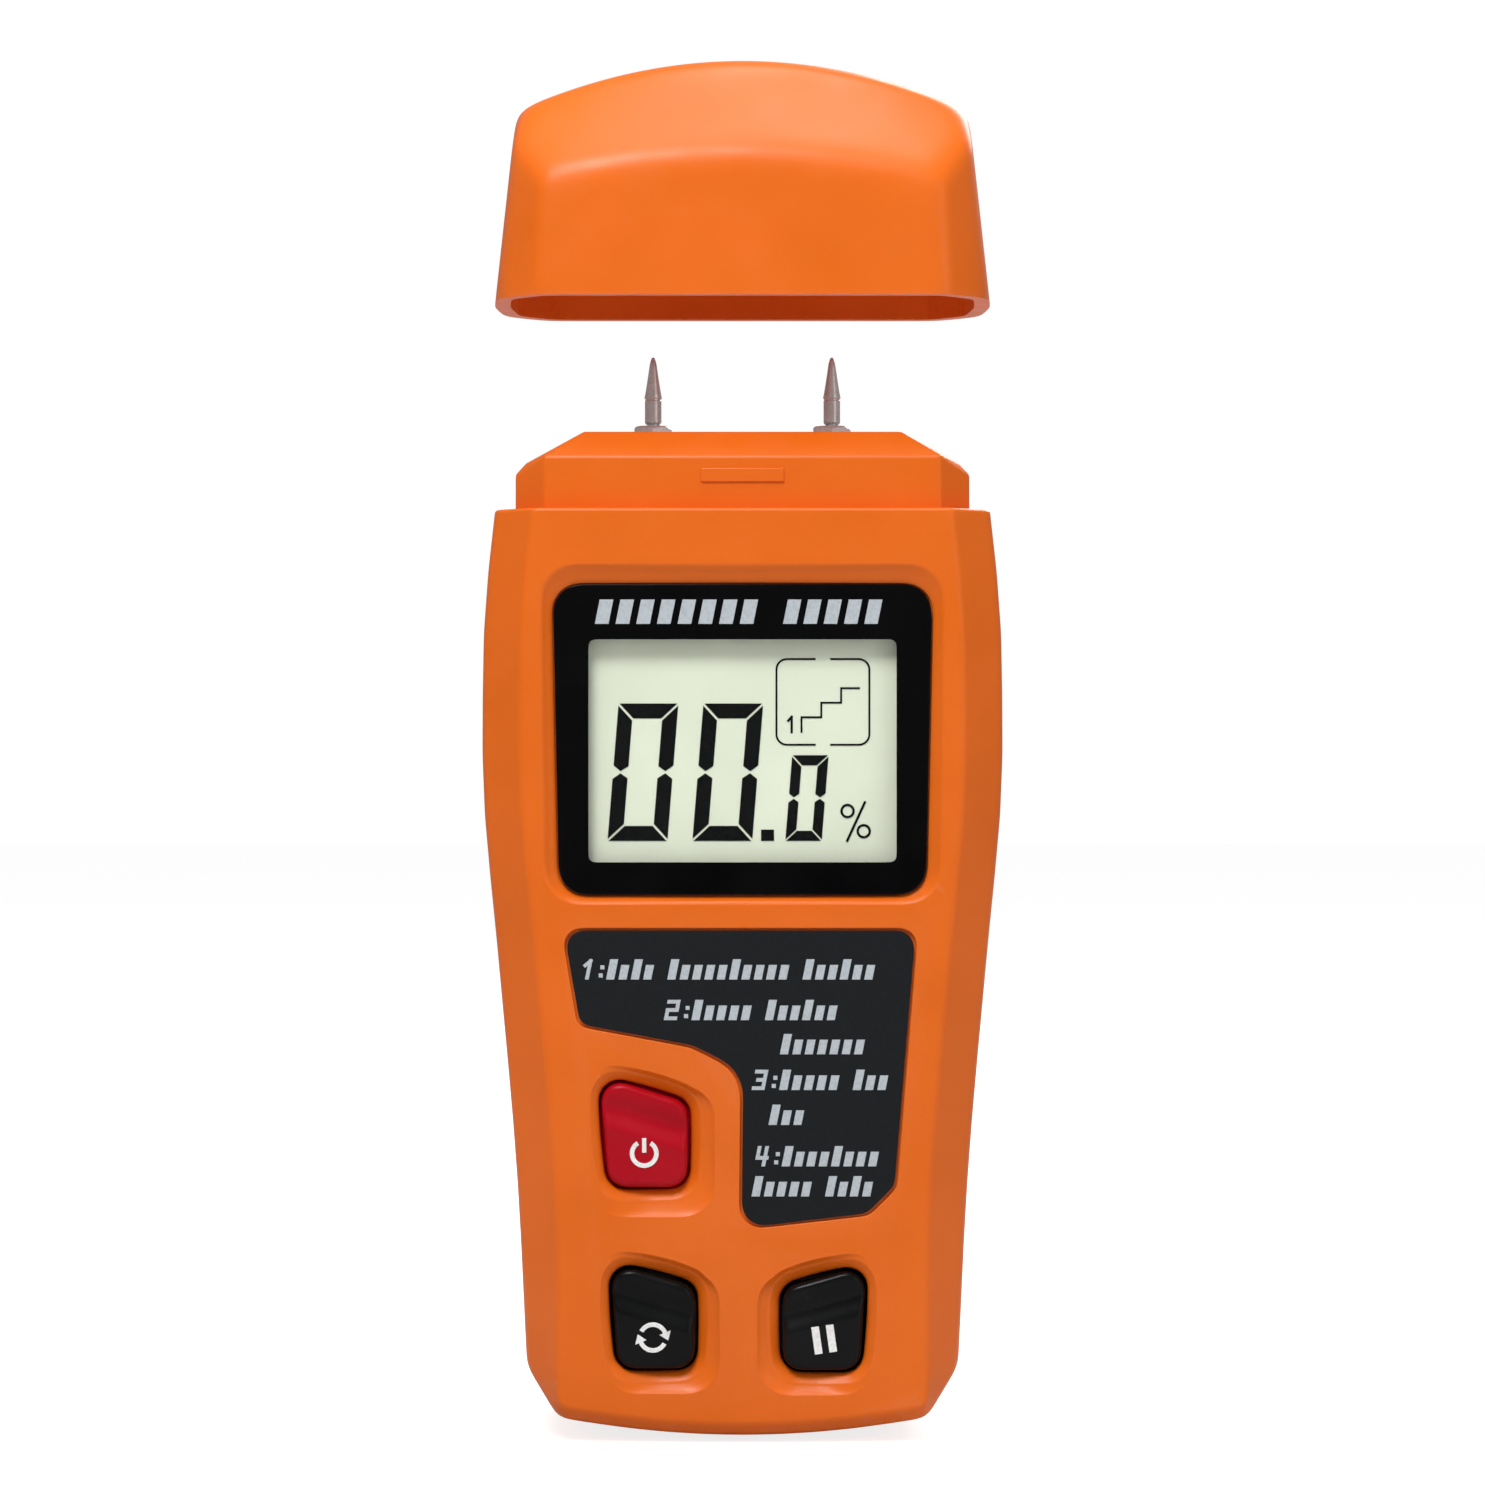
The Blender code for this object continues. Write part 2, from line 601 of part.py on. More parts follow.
def grip_path(side, shift):
    """An S-shaped groove on the cap's end, from low at the front to high at the middle."""
    rim = CAP_RIM_Z + CAP_LIFT
    path = []
    for k in range(9):
        share = k / 8
        y = -8.4 + 7.6 * share
        up = 3.0 + shift + 3.4 * share + 0.9 * math.sin(2 * math.pi * share)
        x = side_half_width(SHOULDER_Z) - CAP_LEAN * up - SIDE_DRAFT * abs(y) / (BODY_HALF_DEPTH - CAP_CHAMFER)
        path.append((side * (x + 0.25), y, rim + up))
    return path


def cap():
    body = hull("cap", cap_points(0.0, 0.0), PLASTIC_ORANGE)
    cut(body, hull("cap_hollow", cap_points(CAP_WALL, -1.0)))
    rim = CAP_RIM_Z + CAP_LIFT
    groove_low = DETENT_Z - CAP_RIM_Z - 1.2
    inner = BODY_HALF_DEPTH - CAP_WALL
    cut(body, brick("cap_detent", (-5.6, -inner - 0.4, rim + groove_low), (5.6, -inner + 1.0, rim + groove_low + 2.4)))
    for side in (-1, 1):
        for k in range(3):
            cut(body, tube(f"grip_{side}_{k}", grip_path(side, 2.3 * k), 0.55, steps=8))
    return body


# ---------------------------------------------------------------- front trim and keys

def window_lens():
    outer = rounded(WINDOW, WINDOW_ROUND)
    y = -BODY_HALF_DEPTH + DISH_DEPTH - 0.05
    plate("window_lens", outer, y, y + LENS_THICKNESS, ((0.02, 0.02, 0.02), 0.08, 0.0))


def facia_label():
    mid_x, mid_z = LABEL_MIDDLE
    shrunk = tuple((x - GAP * away(x, mid_x), z - GAP * away(z, mid_z)) for x, z in LABEL)
    y = -BODY_HALF_DEPTH + 0.05
    plate("facia_label", rounded(shrunk, LABEL_ROUND), y, y + LABEL_THICKNESS, ((0.012, 0.013, 0.015), 0.6, 0.0))


def key(name):
    """A key with its guide flange and the rib that meets the switch. Returns its middle."""
    spec = KEYS[name]
    corners = spec["corners"]
    mid_x = sum(c[0] for c in corners) / 4
    mid_z = sum(c[1] for c in corners) / 4
    origin = (mid_x, KEY_FRONT_Y, mid_z)
    outline = rounded(corners, KEY_ROUND)
    crowned = rounded(grown(corners, -0.5), KEY_ROUND - 0.3)
    rings = [(crowned, KEY_FRONT_Y), (outline, KEY_FRONT_Y + 0.5), (outline, KEY_FLANGE_Y[1])]
    look = (spec["colour"], 0.45, 0.0)
    body = loft(f"{name}_key", [[(x, y, z) for x, z in ring] for ring, y in rings], look, origin)
    cut(body, key_hollow(name, corners, origin))
    flange = rounded(grown(corners, KEY_SPREAD), KEY_ROUND + KEY_SPREAD)
    join(body, plate(f"{name}_flange", flange, *KEY_FLANGE_Y, origin=origin))
    join(body, post(f"{name}_rib", (mid_x, mid_z), 1.9, KEY_FLANGE_Y[0] + 0.3, KEY_RIB_Y))
    return mid_x, mid_z


def key_hollow(name, corners, origin):
    """The dip across the upper third of the key's face."""
    low, high = corners[0][0] - 1.0, corners[1][0] + 1.0
    path = []
    fall = (corners[1][1] - corners[0][1]) / (corners[1][0] - corners[0][0])
    for k in range(5):
        x = low + (high - low) * k / 4
        z = corners[0][1] + fall * (x - corners[0][0]) - 3.6
        path.append((x, KEY_FRONT_Y - 3.4, z))
    tool = tube(f"{name}_dip", path, 4.1, steps=24)
    return tool


def switches(name, place):
    x, z = place
    width, depth, tall = SWITCH_BODY
    back = BOARD_Y[0] - GAP
    body = brick(f"{name}_switch", (x - width / 2, back - depth, z - tall / 2), (x + width / 2, back, z + tall / 2),
                 ((0.05, 0.05, 0.05), 0.5, 0.0))
    cut(body, post(f"{name}_switch_bore", place, SWITCH_BORE, back - depth - 1.0, back - 0.5))
    turned(f"{name}_plunger", ((PLUNGER_RADIUS, PLUNGER_Y[0]), (PLUNGER_RADIUS, PLUNGER_Y[1])), (x, 0.0, z), "Y",
           ((0.6, 0.6, 0.58), 0.5, 0.0), 16)


# ---------------------------------------------------------------- display and board

def display():
    width, depth, tall = LCD_SIZE
    middle_y = LCD_FRONT_Y + depth / 2
    centred("lcd_glass", (0.0, middle_y, LCD_CENTRE_Z), LCD_SIZE, ((0.58, 0.62, 0.45), 0.15, 0.0))
    wide, deep, high = HOLDER_SIZE
    front = LCD_FRONT_Y - 0.1
    holder = brick("lcd_holder", (-wide / 2, front, LCD_CENTRE_Z - high / 2),
                   (wide / 2, front + deep, LCD_CENTRE_Z + high / 2), ((0.7, 0.7, 0.68), 0.5, 0.0))
    cut(holder, brick("holder_opening", (-width / 2 - GAP, front - 1.0, LCD_CENTRE_Z - tall / 2 - GAP),
                      (width / 2 + GAP, front + deep + 1.0, LCD_CENTRE_Z + tall / 2 + GAP)))
    strip_y = (LCD_FRONT_Y + depth + BOARD_Y[0]) / 2
    for name, side in (("upper", 1), ("lower", -1)):
        z = LCD_CENTRE_Z + side * (tall / 2 - 2.2)
        centred("zebra_strip_" + name, (0.0, strip_y, z), STRIP_SIZE, ((0.6, 0.2, 0.25), 0.6, 0.0))


def main_board():
    board = plate("main_board", BOARD_OUTLINE, *BOARD_Y, look=((0.02, 0.2, 0.06), 0.35, 0.0))
    for i, place in enumerate(BOARD_POSTS):
        cut(board, post(f"board_hole_{i}", place, BOARD_SCREW_RADIUS + 0.3, BOARD_Y[0] - 1.0, BOARD_Y[1] + 1.0))
    names = ("upper_left", "upper_right", "lower_left", "lower_right")
    for name, place in zip(names, BOARD_POSTS):
        screw("board_screw_" + name, place, BOARD_SCREW_RADIUS, BOARD_SCREW_HEAD, BOARD_Y[1] + GAP, -13.0, 14)


def board_parts():
    back = BOARD_Y[1] + GAP
    x, z = CHIP_PLACE
    centred("controller_chip", (x, back + CHIP_SIZE[1] / 2, z), CHIP_SIZE, ((0.015, 0.015, 0.015), 0.5, 0.0))
    x, z = TRIMMER_PLACE
    trimmer = centred("trim_potentiometer", (x, back + TRIMMER_SIZE[1] / 2, z), TRIMMER_SIZE,
                      ((0.03, 0.09, 0.4), 0.4, 0.0))
    top = back + TRIMMER_SIZE[1]
    join(trimmer, post("trimmer_rotor", TRIMMER_PLACE, 2.4, top - 0.5, top + 0.7, 16))
    cut(trimmer, brick("trimmer_slot", (x - 2.6, top + 0.2, z - 0.35), (x + 2.6, top + 1.0, z + 0.35)))
    x, z = CAPACITOR_PLACE
    profile = ((CAPACITOR_RADIUS, back), (CAPACITOR_RADIUS, back + 0.9), (CAPACITOR_RADIUS - 0.3, back + 1.3),
               (CAPACITOR_RADIUS, back + 1.7), (CAPACITOR_RADIUS, back + CAPACITOR_HEIGHT - 0.5),
               (CAPACITOR_RADIUS - 0.5, back + CAPACITOR_HEIGHT))
    turned("electrolytic_capacitor", profile, (x, 0.0, z), "Y", ((0.02, 0.03, 0.12), 0.3, 0.0))


# ---------------------------------------------------------------- probes

def hexagon(across):
    return across / math.sqrt(3)


def probe(side, x):
    hexed = hexagon(COLLAR_ACROSS)
    low, high = COLLAR_Z
    collar = turned("terminal_" + side, ((hexed, low), (hexed, high - 0.4), (hexed * 0.8, high)), (x, 0.0, 0.0),
                    "Z", NICKEL, 6, math.pi / 6)
    join(collar, turned(f"terminal_stem_{side}", ((STEM[0], STEM[1]), (STEM[0], low + 0.5)), (x, 0.0, 0.0), "Z",
                        steps=20))
    cut(collar, turned(f"terminal_bore_{side}", ((STEM_BORE[0], STEM_BORE[1]), (STEM_BORE[0], high + 1.0)),
                       (x, 0.0, 0.0), "Z", steps=16))
    radius, foot = PIN_STUB
    seat = high + GAP
    profile = (
        (radius, foot), (radius, seat), (PIN_SHAFT_RADIUS, seat), (PIN_SHAFT_RADIUS, PIN_CONE_Z - 0.3),
        (PIN_SHAFT_RADIUS + 0.05, PIN_CONE_Z), (0.42, PIN_TIP_Z - 0.9), (0.2, PIN_TIP_Z),
    )
    turned("needle_" + side, profile, (x, 0.0, 0.0), "Z", NICKEL, 20)
    nut = turned("terminal_nut_" + side, ((hexagon(NUT_ACROSS), NUT_Z[0]), (hexagon(NUT_ACROSS), NUT_Z[1])),
                 (x, 0.0, 0.0), "Z", BRASS, 6, math.pi / 6)
    bore = STEM[0] + GAP
    cut(nut, turned(f"nut_bore_{side}", ((bore, NUT_Z[0] - 1.0), (bore, NUT_Z[1] + 1.0)), (x, 0.0, 0.0), "Z",
                    steps=20))
    solder_lug(side, x, bore)
    wire = curved(((x, 4.1, 113.6), (x, 4.3, 111.0), (x, 1.0, 107.0), (x, -3.0, 106.4), (x, -5.2, 106.4),
                   (x, -6.6, 106.4)))
    tube("probe_wire_" + side, wire, WIRE_RADIUS, ((0.5, 0.02, 0.02), 0.5, 0.0))


def solder_lug(side, x, bore):
    """A ring terminal under the nut, with its tail bent down behind the stem."""
    low, high = LUG_Z
    lug = turned("solder_lug_" + side, ((3.0, low), (3.0, high)), (x, 0.0, 0.0), "Z", BRASS, 20)
    join(lug, brick(f"lug_tail_{side}", (x - 1.0, 2.4, 114.2), (x + 1.0, 3.0, high - 0.1)))
    cut(lug, turned(f"lug_bore_{side}", ((bore, low - 1.0), (bore, high + 1.0)), (x, 0.0, 0.0), "Z", steps=20))


# ---------------------------------------------------------------- battery

def battery():
    x, y = BATTERY_CENTRE
    width, depth, tall = BATTERY_SIZE
    top = BATTERY_FOOT_Z + tall
    outline = rounded(((x - width / 2, y - depth / 2), (x + width / 2, y - depth / 2),
                       (x + width / 2, y + depth / 2), (x - width / 2, y + depth / 2)), 2.2, 4)
    body = loft("battery_9v", [[(px, py, z) for px, py in outline] for z in (BATTERY_FOOT_Z, top)],
                ((0.06, 0.06, 0.07), 0.3, 0.6))
    for name, side, radius in (("stud", -1, 2.8), ("socket", 1, 3.9)):
        join(body, turned("battery_" + name, ((radius, top - 0.5), (radius, top + 2.2)),
                          (x + side * TERMINAL_X, y, 0.0), "Z", steps=16))
    snap_low = top + GAP
    wide, deep, high = SNAP_SIZE
    snap = brick("battery_snap", (x - wide / 2, y - deep / 2, snap_low), (x + wide / 2, y + deep / 2, snap_low + high),
                 ((0.015, 0.015, 0.015), 0.55, 0.0))
    for name, side, radius in (("stud", -1, 3.1), ("socket", 1, 4.2)):
        cut(snap, turned(f"snap_{name}_bore", ((radius, snap_low - 1.0), (radius, top + 2.5)),
                         (x + side * TERMINAL_X, y, 0.0), "Z", steps=16))
    lead_top = snap_low + high
    for name, sx, colour in (("red", 1, (0.5, 0.01, 0.01)), ("black", -1, (0.01, 0.01, 0.01))):
        lead = curved(((sx * 2.4, 1.6, lead_top + GAP), (sx * 2.4, 1.4, lead_top + 3.0), (sx * 2.8, 0.2, 71.0),
                       (sx * 3.2, -3.4, 72.4), (sx * 3.2, -6.6, 72.4)))
        tube(f"battery_lead_{name}", lead, WIRE_RADIUS, (colour, 0.5, 0.0))


def battery_door():
    """The door plate, hinged where its lower edge meets the back of the shell."""
    y, z = DOOR_HINGE
    origin = (0.0, y, z)
    half = BAY_HALF_WIDTH - GAP
    low, high = BAY_Z[0] + GAP, BAY_Z[1] - GAP
    outline = rounded(((-half, low), (half, low), (half, high), (-half, high)), 1.0)
    inner = BODY_HALF_DEPTH - DOOR_THICKNESS
    door = plate("battery_door", outline, inner, BODY_HALF_DEPTH, PLASTIC_ORANGE, origin)
    for i, x in enumerate(DOOR_TAB_X):
        w = DOOR_TAB_WIDTH / 2
        join(door, brick(f"door_tab_{i}", (x - w, 13.0, 8.9), (x + w, 14.1, 12.6)))
        join(door, brick(f"door_tab_root_{i}", (x - w, 13.0, 11.0), (x + w, inner + 0.6, 12.6)))
    join(door, brick("door_latch", (-4.0, 12.8, high - 2.2), (4.0, inner + 0.6, high)))
    for k in range(3):
        zk = high - 5.5 - 1.8 * k
        cut(door, brick(f"door_grip_{k}", (-6.0, BODY_HALF_DEPTH - 0.6, zk - 0.45),
                        (6.0, BODY_HALF_DEPTH + 1.0, zk + 0.45)))


def main():
    clear_scene()
    front_shell()
    rear_shell()
    case_screws()
    cap()
    window_lens()
    facia_label()
    for name in KEYS:
        switches(name, key(name))
    display()
    main_board()
    board_parts()
    for side, x in (("left", -PIN_X), ("right", PIN_X)):
        probe(side, x)
    battery()
    battery_door()


main()
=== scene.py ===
"""Looks of the two-pin moisture meter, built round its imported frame.

Lengths are in millimetres and become metres where a mesh is made. X runs to the
right of the display, -Y out of it and +Z up along the pins. Outlines are cut out of
the frame's own nodes, so each new piece lies where the node it stands for lies.
"""
import json
import math

import bmesh
import bpy
import numpy as np
from mathutils import Matrix, Vector, geometry
from mathutils.bvhtree import BVHTree

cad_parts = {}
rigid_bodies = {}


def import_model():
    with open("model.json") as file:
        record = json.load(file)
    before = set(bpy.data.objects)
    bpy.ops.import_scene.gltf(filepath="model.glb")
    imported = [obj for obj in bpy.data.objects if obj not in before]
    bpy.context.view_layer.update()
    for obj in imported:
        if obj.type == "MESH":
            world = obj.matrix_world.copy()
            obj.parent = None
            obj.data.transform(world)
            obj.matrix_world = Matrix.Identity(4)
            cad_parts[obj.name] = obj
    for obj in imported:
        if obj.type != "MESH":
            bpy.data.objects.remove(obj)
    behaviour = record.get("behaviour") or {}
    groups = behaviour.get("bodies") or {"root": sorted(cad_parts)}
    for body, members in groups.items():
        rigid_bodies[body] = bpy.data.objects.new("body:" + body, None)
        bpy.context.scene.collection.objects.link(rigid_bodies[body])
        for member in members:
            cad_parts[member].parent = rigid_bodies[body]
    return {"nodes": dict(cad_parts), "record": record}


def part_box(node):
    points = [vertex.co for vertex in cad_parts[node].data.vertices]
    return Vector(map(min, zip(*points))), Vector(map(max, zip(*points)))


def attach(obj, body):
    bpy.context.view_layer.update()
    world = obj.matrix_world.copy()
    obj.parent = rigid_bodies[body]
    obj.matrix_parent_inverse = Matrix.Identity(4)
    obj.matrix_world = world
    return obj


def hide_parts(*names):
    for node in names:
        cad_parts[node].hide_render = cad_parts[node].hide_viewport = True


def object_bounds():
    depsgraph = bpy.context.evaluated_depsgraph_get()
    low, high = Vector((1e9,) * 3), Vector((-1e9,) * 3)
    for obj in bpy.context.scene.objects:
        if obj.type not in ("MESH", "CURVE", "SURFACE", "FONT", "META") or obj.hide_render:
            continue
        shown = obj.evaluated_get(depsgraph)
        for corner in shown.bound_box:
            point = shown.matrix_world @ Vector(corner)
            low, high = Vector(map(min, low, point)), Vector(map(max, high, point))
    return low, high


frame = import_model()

CAD_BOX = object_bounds()

MM = 0.001


# ---------------------------------------------------------------- reading the frame

def node_mesh(name):
    """A CAD node's mesh in millimetres, with its split corners merged."""
    bm = bmesh.new()
    bm.from_mesh(frame["nodes"][name].data)
    bmesh.ops.scale(bm, vec=(1 / MM,) * 3, verts=bm.verts)
    bmesh.ops.remove_doubles(bm, verts=bm.verts, dist=0.0005)
    bmesh.ops.recalc_face_normals(bm, faces=bm.faces)
    return bm


def node_box(name):
    low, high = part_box(name)
    return low / MM, high / MM


def node_tree(name):
    bm = node_mesh(name)
    tree = BVHTree.FromBMesh(bm)
    bm.free()
    return tree


def sections(name, y):
    """Closed outlines, as (x, z) arrays, where the plane at depth y cuts a node. Longest first."""
    bm = node_mesh(name)
    geom = list(bm.verts) + list(bm.edges) + list(bm.faces)
    bmesh.ops.bisect_plane(bm, geom=geom, plane_co=(0, y, 0), plane_no=(0, 1, 0),
                           clear_inner=True, clear_outer=True)
    bmesh.ops.remove_doubles(bm, verts=bm.verts, dist=0.002)
    loops = []
    left = set(bm.verts)
    while left:
        here = left.pop()
        loop = [here]
        while True:
            ahead = [e.other_vert(here) for e in here.link_edges if e.other_vert(here) in left]
            if not ahead:
                break
            here = ahead[0]
            left.discard(here)
            loop.append(here)
        if len(loop) > 5:
            loops.append(np.array([(v.co.x, v.co.z) for v in loop]))
    bm.free()
    return sorted(loops, key=lambda loop: -span(loop))


def span(loop):
    return float(np.prod(loop.max(0) - loop.min(0)))


def section_round(name, y, point):
    """The smallest outline at a depth that goes round a point."""
    found = [loop for loop in sections(name, y)
             if (loop.min(0) < point).all() and (loop.max(0) > point).all()]
    return found[-1]


# ---------------------------------------------------------------- outlines

def evened(loop, step):
    """The loop again, anticlockwise, with its points a step apart."""
    if signed_area(loop) < 0:
        loop = loop[::-1]
    closed = np.vstack([loop, loop[:1]])
    run = np.concatenate([[0.0], np.cumsum(np.linalg.norm(np.diff(closed, axis=0), axis=1))])
    count = max(12, int(run[-1] / step))
    marks = np.arange(count) * run[-1] / count
    return np.stack([np.interp(marks, run, closed[:, k]) for k in (0, 1)], 1)


def signed_area(loop):
    x, z = loop[:, 0], loop[:, 1]
    return 0.5 * float(np.sum(x * np.roll(z, -1) - np.roll(x, -1) * z))


def softened(loop, passes):
    """The loop with its corners eased by passes of a three-point average."""
    for _ in range(passes):
        loop = (np.roll(loop, 1, 0) + 2 * loop + np.roll(loop, -1, 0)) / 4
    return loop


def outward(loop):
    along = np.roll(loop, -1, 0) - np.roll(loop, 1, 0)
    normal = np.stack([along[:, 1], -along[:, 0]], 1)
    return normal / np.linalg.norm(normal, axis=1)[:, None]


def grown(loop, by):
    return loop + outward(loop) * np.reshape(by, (-1, 1))


def reach(loop, centre, angles):
    """How far the loop lies from a centre in each direction."""
    a = loop - centre
    b = np.roll(a, -1, 0)
    out = np.zeros(len(angles))
    for i, angle in enumerate(angles):
        way = np.array([math.cos(angle), math.sin(angle)])
        side = np.array([-way[1], way[0]])
        sa, sb = a @ side, b @ side
        crossing = (sa <= 0) != (sb <= 0)
        share = sa[crossing] / (sa[crossing] - sb[crossing])
        hits = (a[crossing] @ way) * (1 - share) + (b[crossing] @ way) * share
        out[i] = hits.max() if len(hits) else 0.0
    return out


def smoothed_ring(values, passes):
    for _ in range(passes):
        values = (np.roll(values, 1) + 2 * values + np.roll(values, -1)) / 4
    return values


def smoothstep(x, low, high):
    t = np.clip((x - low) / (high - low), 0.0, 1.0)
    return t * t * (3 - 2 * t)


# ---------------------------------------------------------------- meshes

def new_object(name, bm, smooth=40.0):
    bmesh.ops.scale(bm, vec=(MM,) * 3, verts=bm.verts)
    mesh = bpy.data.meshes.new(name)
    bm.to_mesh(mesh)
    bm.free()
    mesh.shade_smooth()
    mesh.set_sharp_from_angle(angle=math.radians(smooth))
    obj = bpy.data.objects.new(name, mesh)
    bpy.context.scene.collection.objects.link(obj)
    return obj


def lofted(name, rings, smooth=40.0, closed_ends=True, point_end=None):
    """A body through rings of (x, y, z) points. point_end closes the last ring on one point."""
    bm = bmesh.new()
    rows = [[bm.verts.new(p) for p in ring] for ring in rings]
    count = len(rows[0])
    for a, b in zip(rows, rows[1:]):
        for i in range(count):
            j = (i + 1) % count
            bm.faces.new((a[i], a[j], b[j], b[i]))
    if closed_ends:
        bm.faces.new(rows[0])
    if point_end is not None:
        tip = bm.verts.new(point_end)
        for i in range(count):
            bm.faces.new((rows[-1][i], rows[-1][(i + 1) % count], tip))
    elif closed_ends:
        bm.faces.new(rows[-1])
    bmesh.ops.recalc_face_normals(bm, faces=bm.faces)
    return new_object(name, bm, smooth)


def flat_ring(loop, y):
    depth = np.broadcast_to(np.asarray(y, float), (len(loop),))
    return [(x, d, z) for (x, z), d in zip(loop, depth)]


def plate(name, loop, y_from, y_to, edge=0.0, smooth=40.0):
    """A plate with the given outline whose face at y_from has rounded edges."""
    rings = [flat_ring(loop, y_to)]
    way = 1.0 if y_to > y_from else -1.0
    if edge:
        for k in range(5):
            turn = math.pi / 2 * k / 4
            rings.append(flat_ring(grown(loop, -edge * (1 - math.cos(turn))),
                                   y_from + way * edge * (1 - math.sin(turn))))
    else:
        rings.append(flat_ring(loop, y_from))
    return lofted(name, rings, smooth)


def turned(name, profile, base, steps=48, axis="Z", phase=0.0, smooth=35.0):
    """A turned body: profile holds (radius, distance) pairs from its base along an axis."""
    rings = []
    for radius, along in profile:
        ring = []
        for k in range(steps):
            a = phase + 2 * math.pi * k / steps
            x, other = radius * math.cos(a), radius * math.sin(a)
            ring.append((base[0] + x, base[1] + other, base[2] + along) if axis == "Z"
                        else (base[0] + x, base[1] + along, base[2] + other))
        rings.append(ring)
    return lofted(name, rings, smooth)


def hulled(points):
    bm = bmesh.new()
    for point in points:
        bm.verts.new(point)
    found = bmesh.ops.convex_hull(bm, input=bm.verts)
    loose = {v for v in found["geom_interior"] + found["geom_unused"] if isinstance(v, bmesh.types.BMVert)}
    bmesh.ops.delete(bm, geom=list(loose), context="VERTS")
    bmesh.ops.recalc_face_normals(bm, faces=bm.faces)
    return bm


def rounded_hull(points, radius):
    """The hull of the points with its edges rounded: flat faces stay where they are."""
    bm = hulled(points)
    bmesh.ops.dissolve_limit(bm, angle_limit=math.radians(2.0), verts=bm.verts, edges=bm.edges)
    bm.normal_update()
    normals = [np.array(f.normal) for f in bm.faces]
    centres = []
    for v in bm.verts:
        facing = np.array([f.normal for f in v.link_faces])
        shift = np.linalg.lstsq(facing, np.full(len(facing), -radius), rcond=0.05)[0]
        centres.append(np.array(v.co) + shift)
    bm.free()
    ball = bmesh.new()
    bmesh.ops.create_icosphere(ball, subdivisions=3, radius=1.0)
    ways = np.array([v.co.normalized() for v in ball.verts] + normals)
    ball.free()
    return hulled([Vector(centre + way * radius) for centre in centres for way in ways])


def rounded_box(name, low, high, radius):
    corners = [Vector((x, y, z)) for x in (low[0], high[0]) for y in (low[1], high[1]) for z in (low[2], high[2])]
    return new_object(name, rounded_hull(corners, radius))


def copy_of_node(name, keep_from=None, keep_to=None):
    """A closed copy of a node, or of the part of it between two depths."""
    bm = node_mesh(name)
    for depth, way in ((keep_from, -1), (keep_to, 1)):
        if depth is None:
            continue
        geom = list(bm.verts) + list(bm.edges) + list(bm.faces)
        found = bmesh.ops.bisect_plane(bm, geom=geom, plane_co=(0, depth, 0), plane_no=(0, way, 0),
                                       clear_outer=True)
        rim = [e for e in found["geom_cut"] if isinstance(e, bmesh.types.BMEdge)]
        bmesh.ops.triangle_fill(bm, use_beauty=True, edges=rim)
    bmesh.ops.recalc_face_normals(bm, faces=bm.faces)
    return new_object(name + "_copy", bm)


def mended(mesh):
    """Closes the odd sliver that a Boolean leaves open."""
    bm = bmesh.new()
    bm.from_mesh(mesh)
    bmesh.ops.remove_doubles(bm, verts=bm.verts, dist=2e-7)
    gaps = [e for e in bm.edges if e.is_boundary]
    if gaps:
        bmesh.ops.holes_fill(bm, edges=gaps, sides=12)
    bm.to_mesh(mesh)
    bm.free()
    return mesh


def boolean(target, tool, operation):
    """Applies one exact Boolean and removes the tool."""
    modifier = target.modifiers.new("boolean", "BOOLEAN")
    modifier.operation = operation
    modifier.solver = "EXACT"
    modifier.object = tool
    graph = bpy.context.evaluated_depsgraph_get()
    mesh = bpy.data.meshes.new_from_object(target.evaluated_get(graph))
    target.modifiers.clear()
    target.data = mended(mesh)
    bpy.data.objects.remove(tool, do_unlink=True)
    return target


def cut(target, *tools):
    for tool in tools:
        boolean(target, tool, "DIFFERENCE")
    return target


def join(target, *tools):
    for tool in tools:
        boolean(target, tool, "UNION")
    return target


def even_normals(obj, angle=40.0):
    """Shading that keeps large flat faces flat beside their rounded edges."""
    obj.data.shade_smooth()
    obj.data.set_sharp_from_angle(angle=math.radians(angle))
    modifier = obj.modifiers.new("normals", "WEIGHTED_NORMAL")
    modifier.mode = "FACE_AREA"
    modifier.weight = 50
    modifier.keep_sharp = True
    return obj


# ---------------------------------------------------------------- materials

def linear(rgb):
    """A linear colour from the usual 0 to 255 screen values."""
    out = []
    for value in rgb:
        c = value / 255
        out.append(c / 12.92 if c <= 0.04045 else ((c + 0.055) / 1.055) ** 2.4)
    return (*out, 1.0)


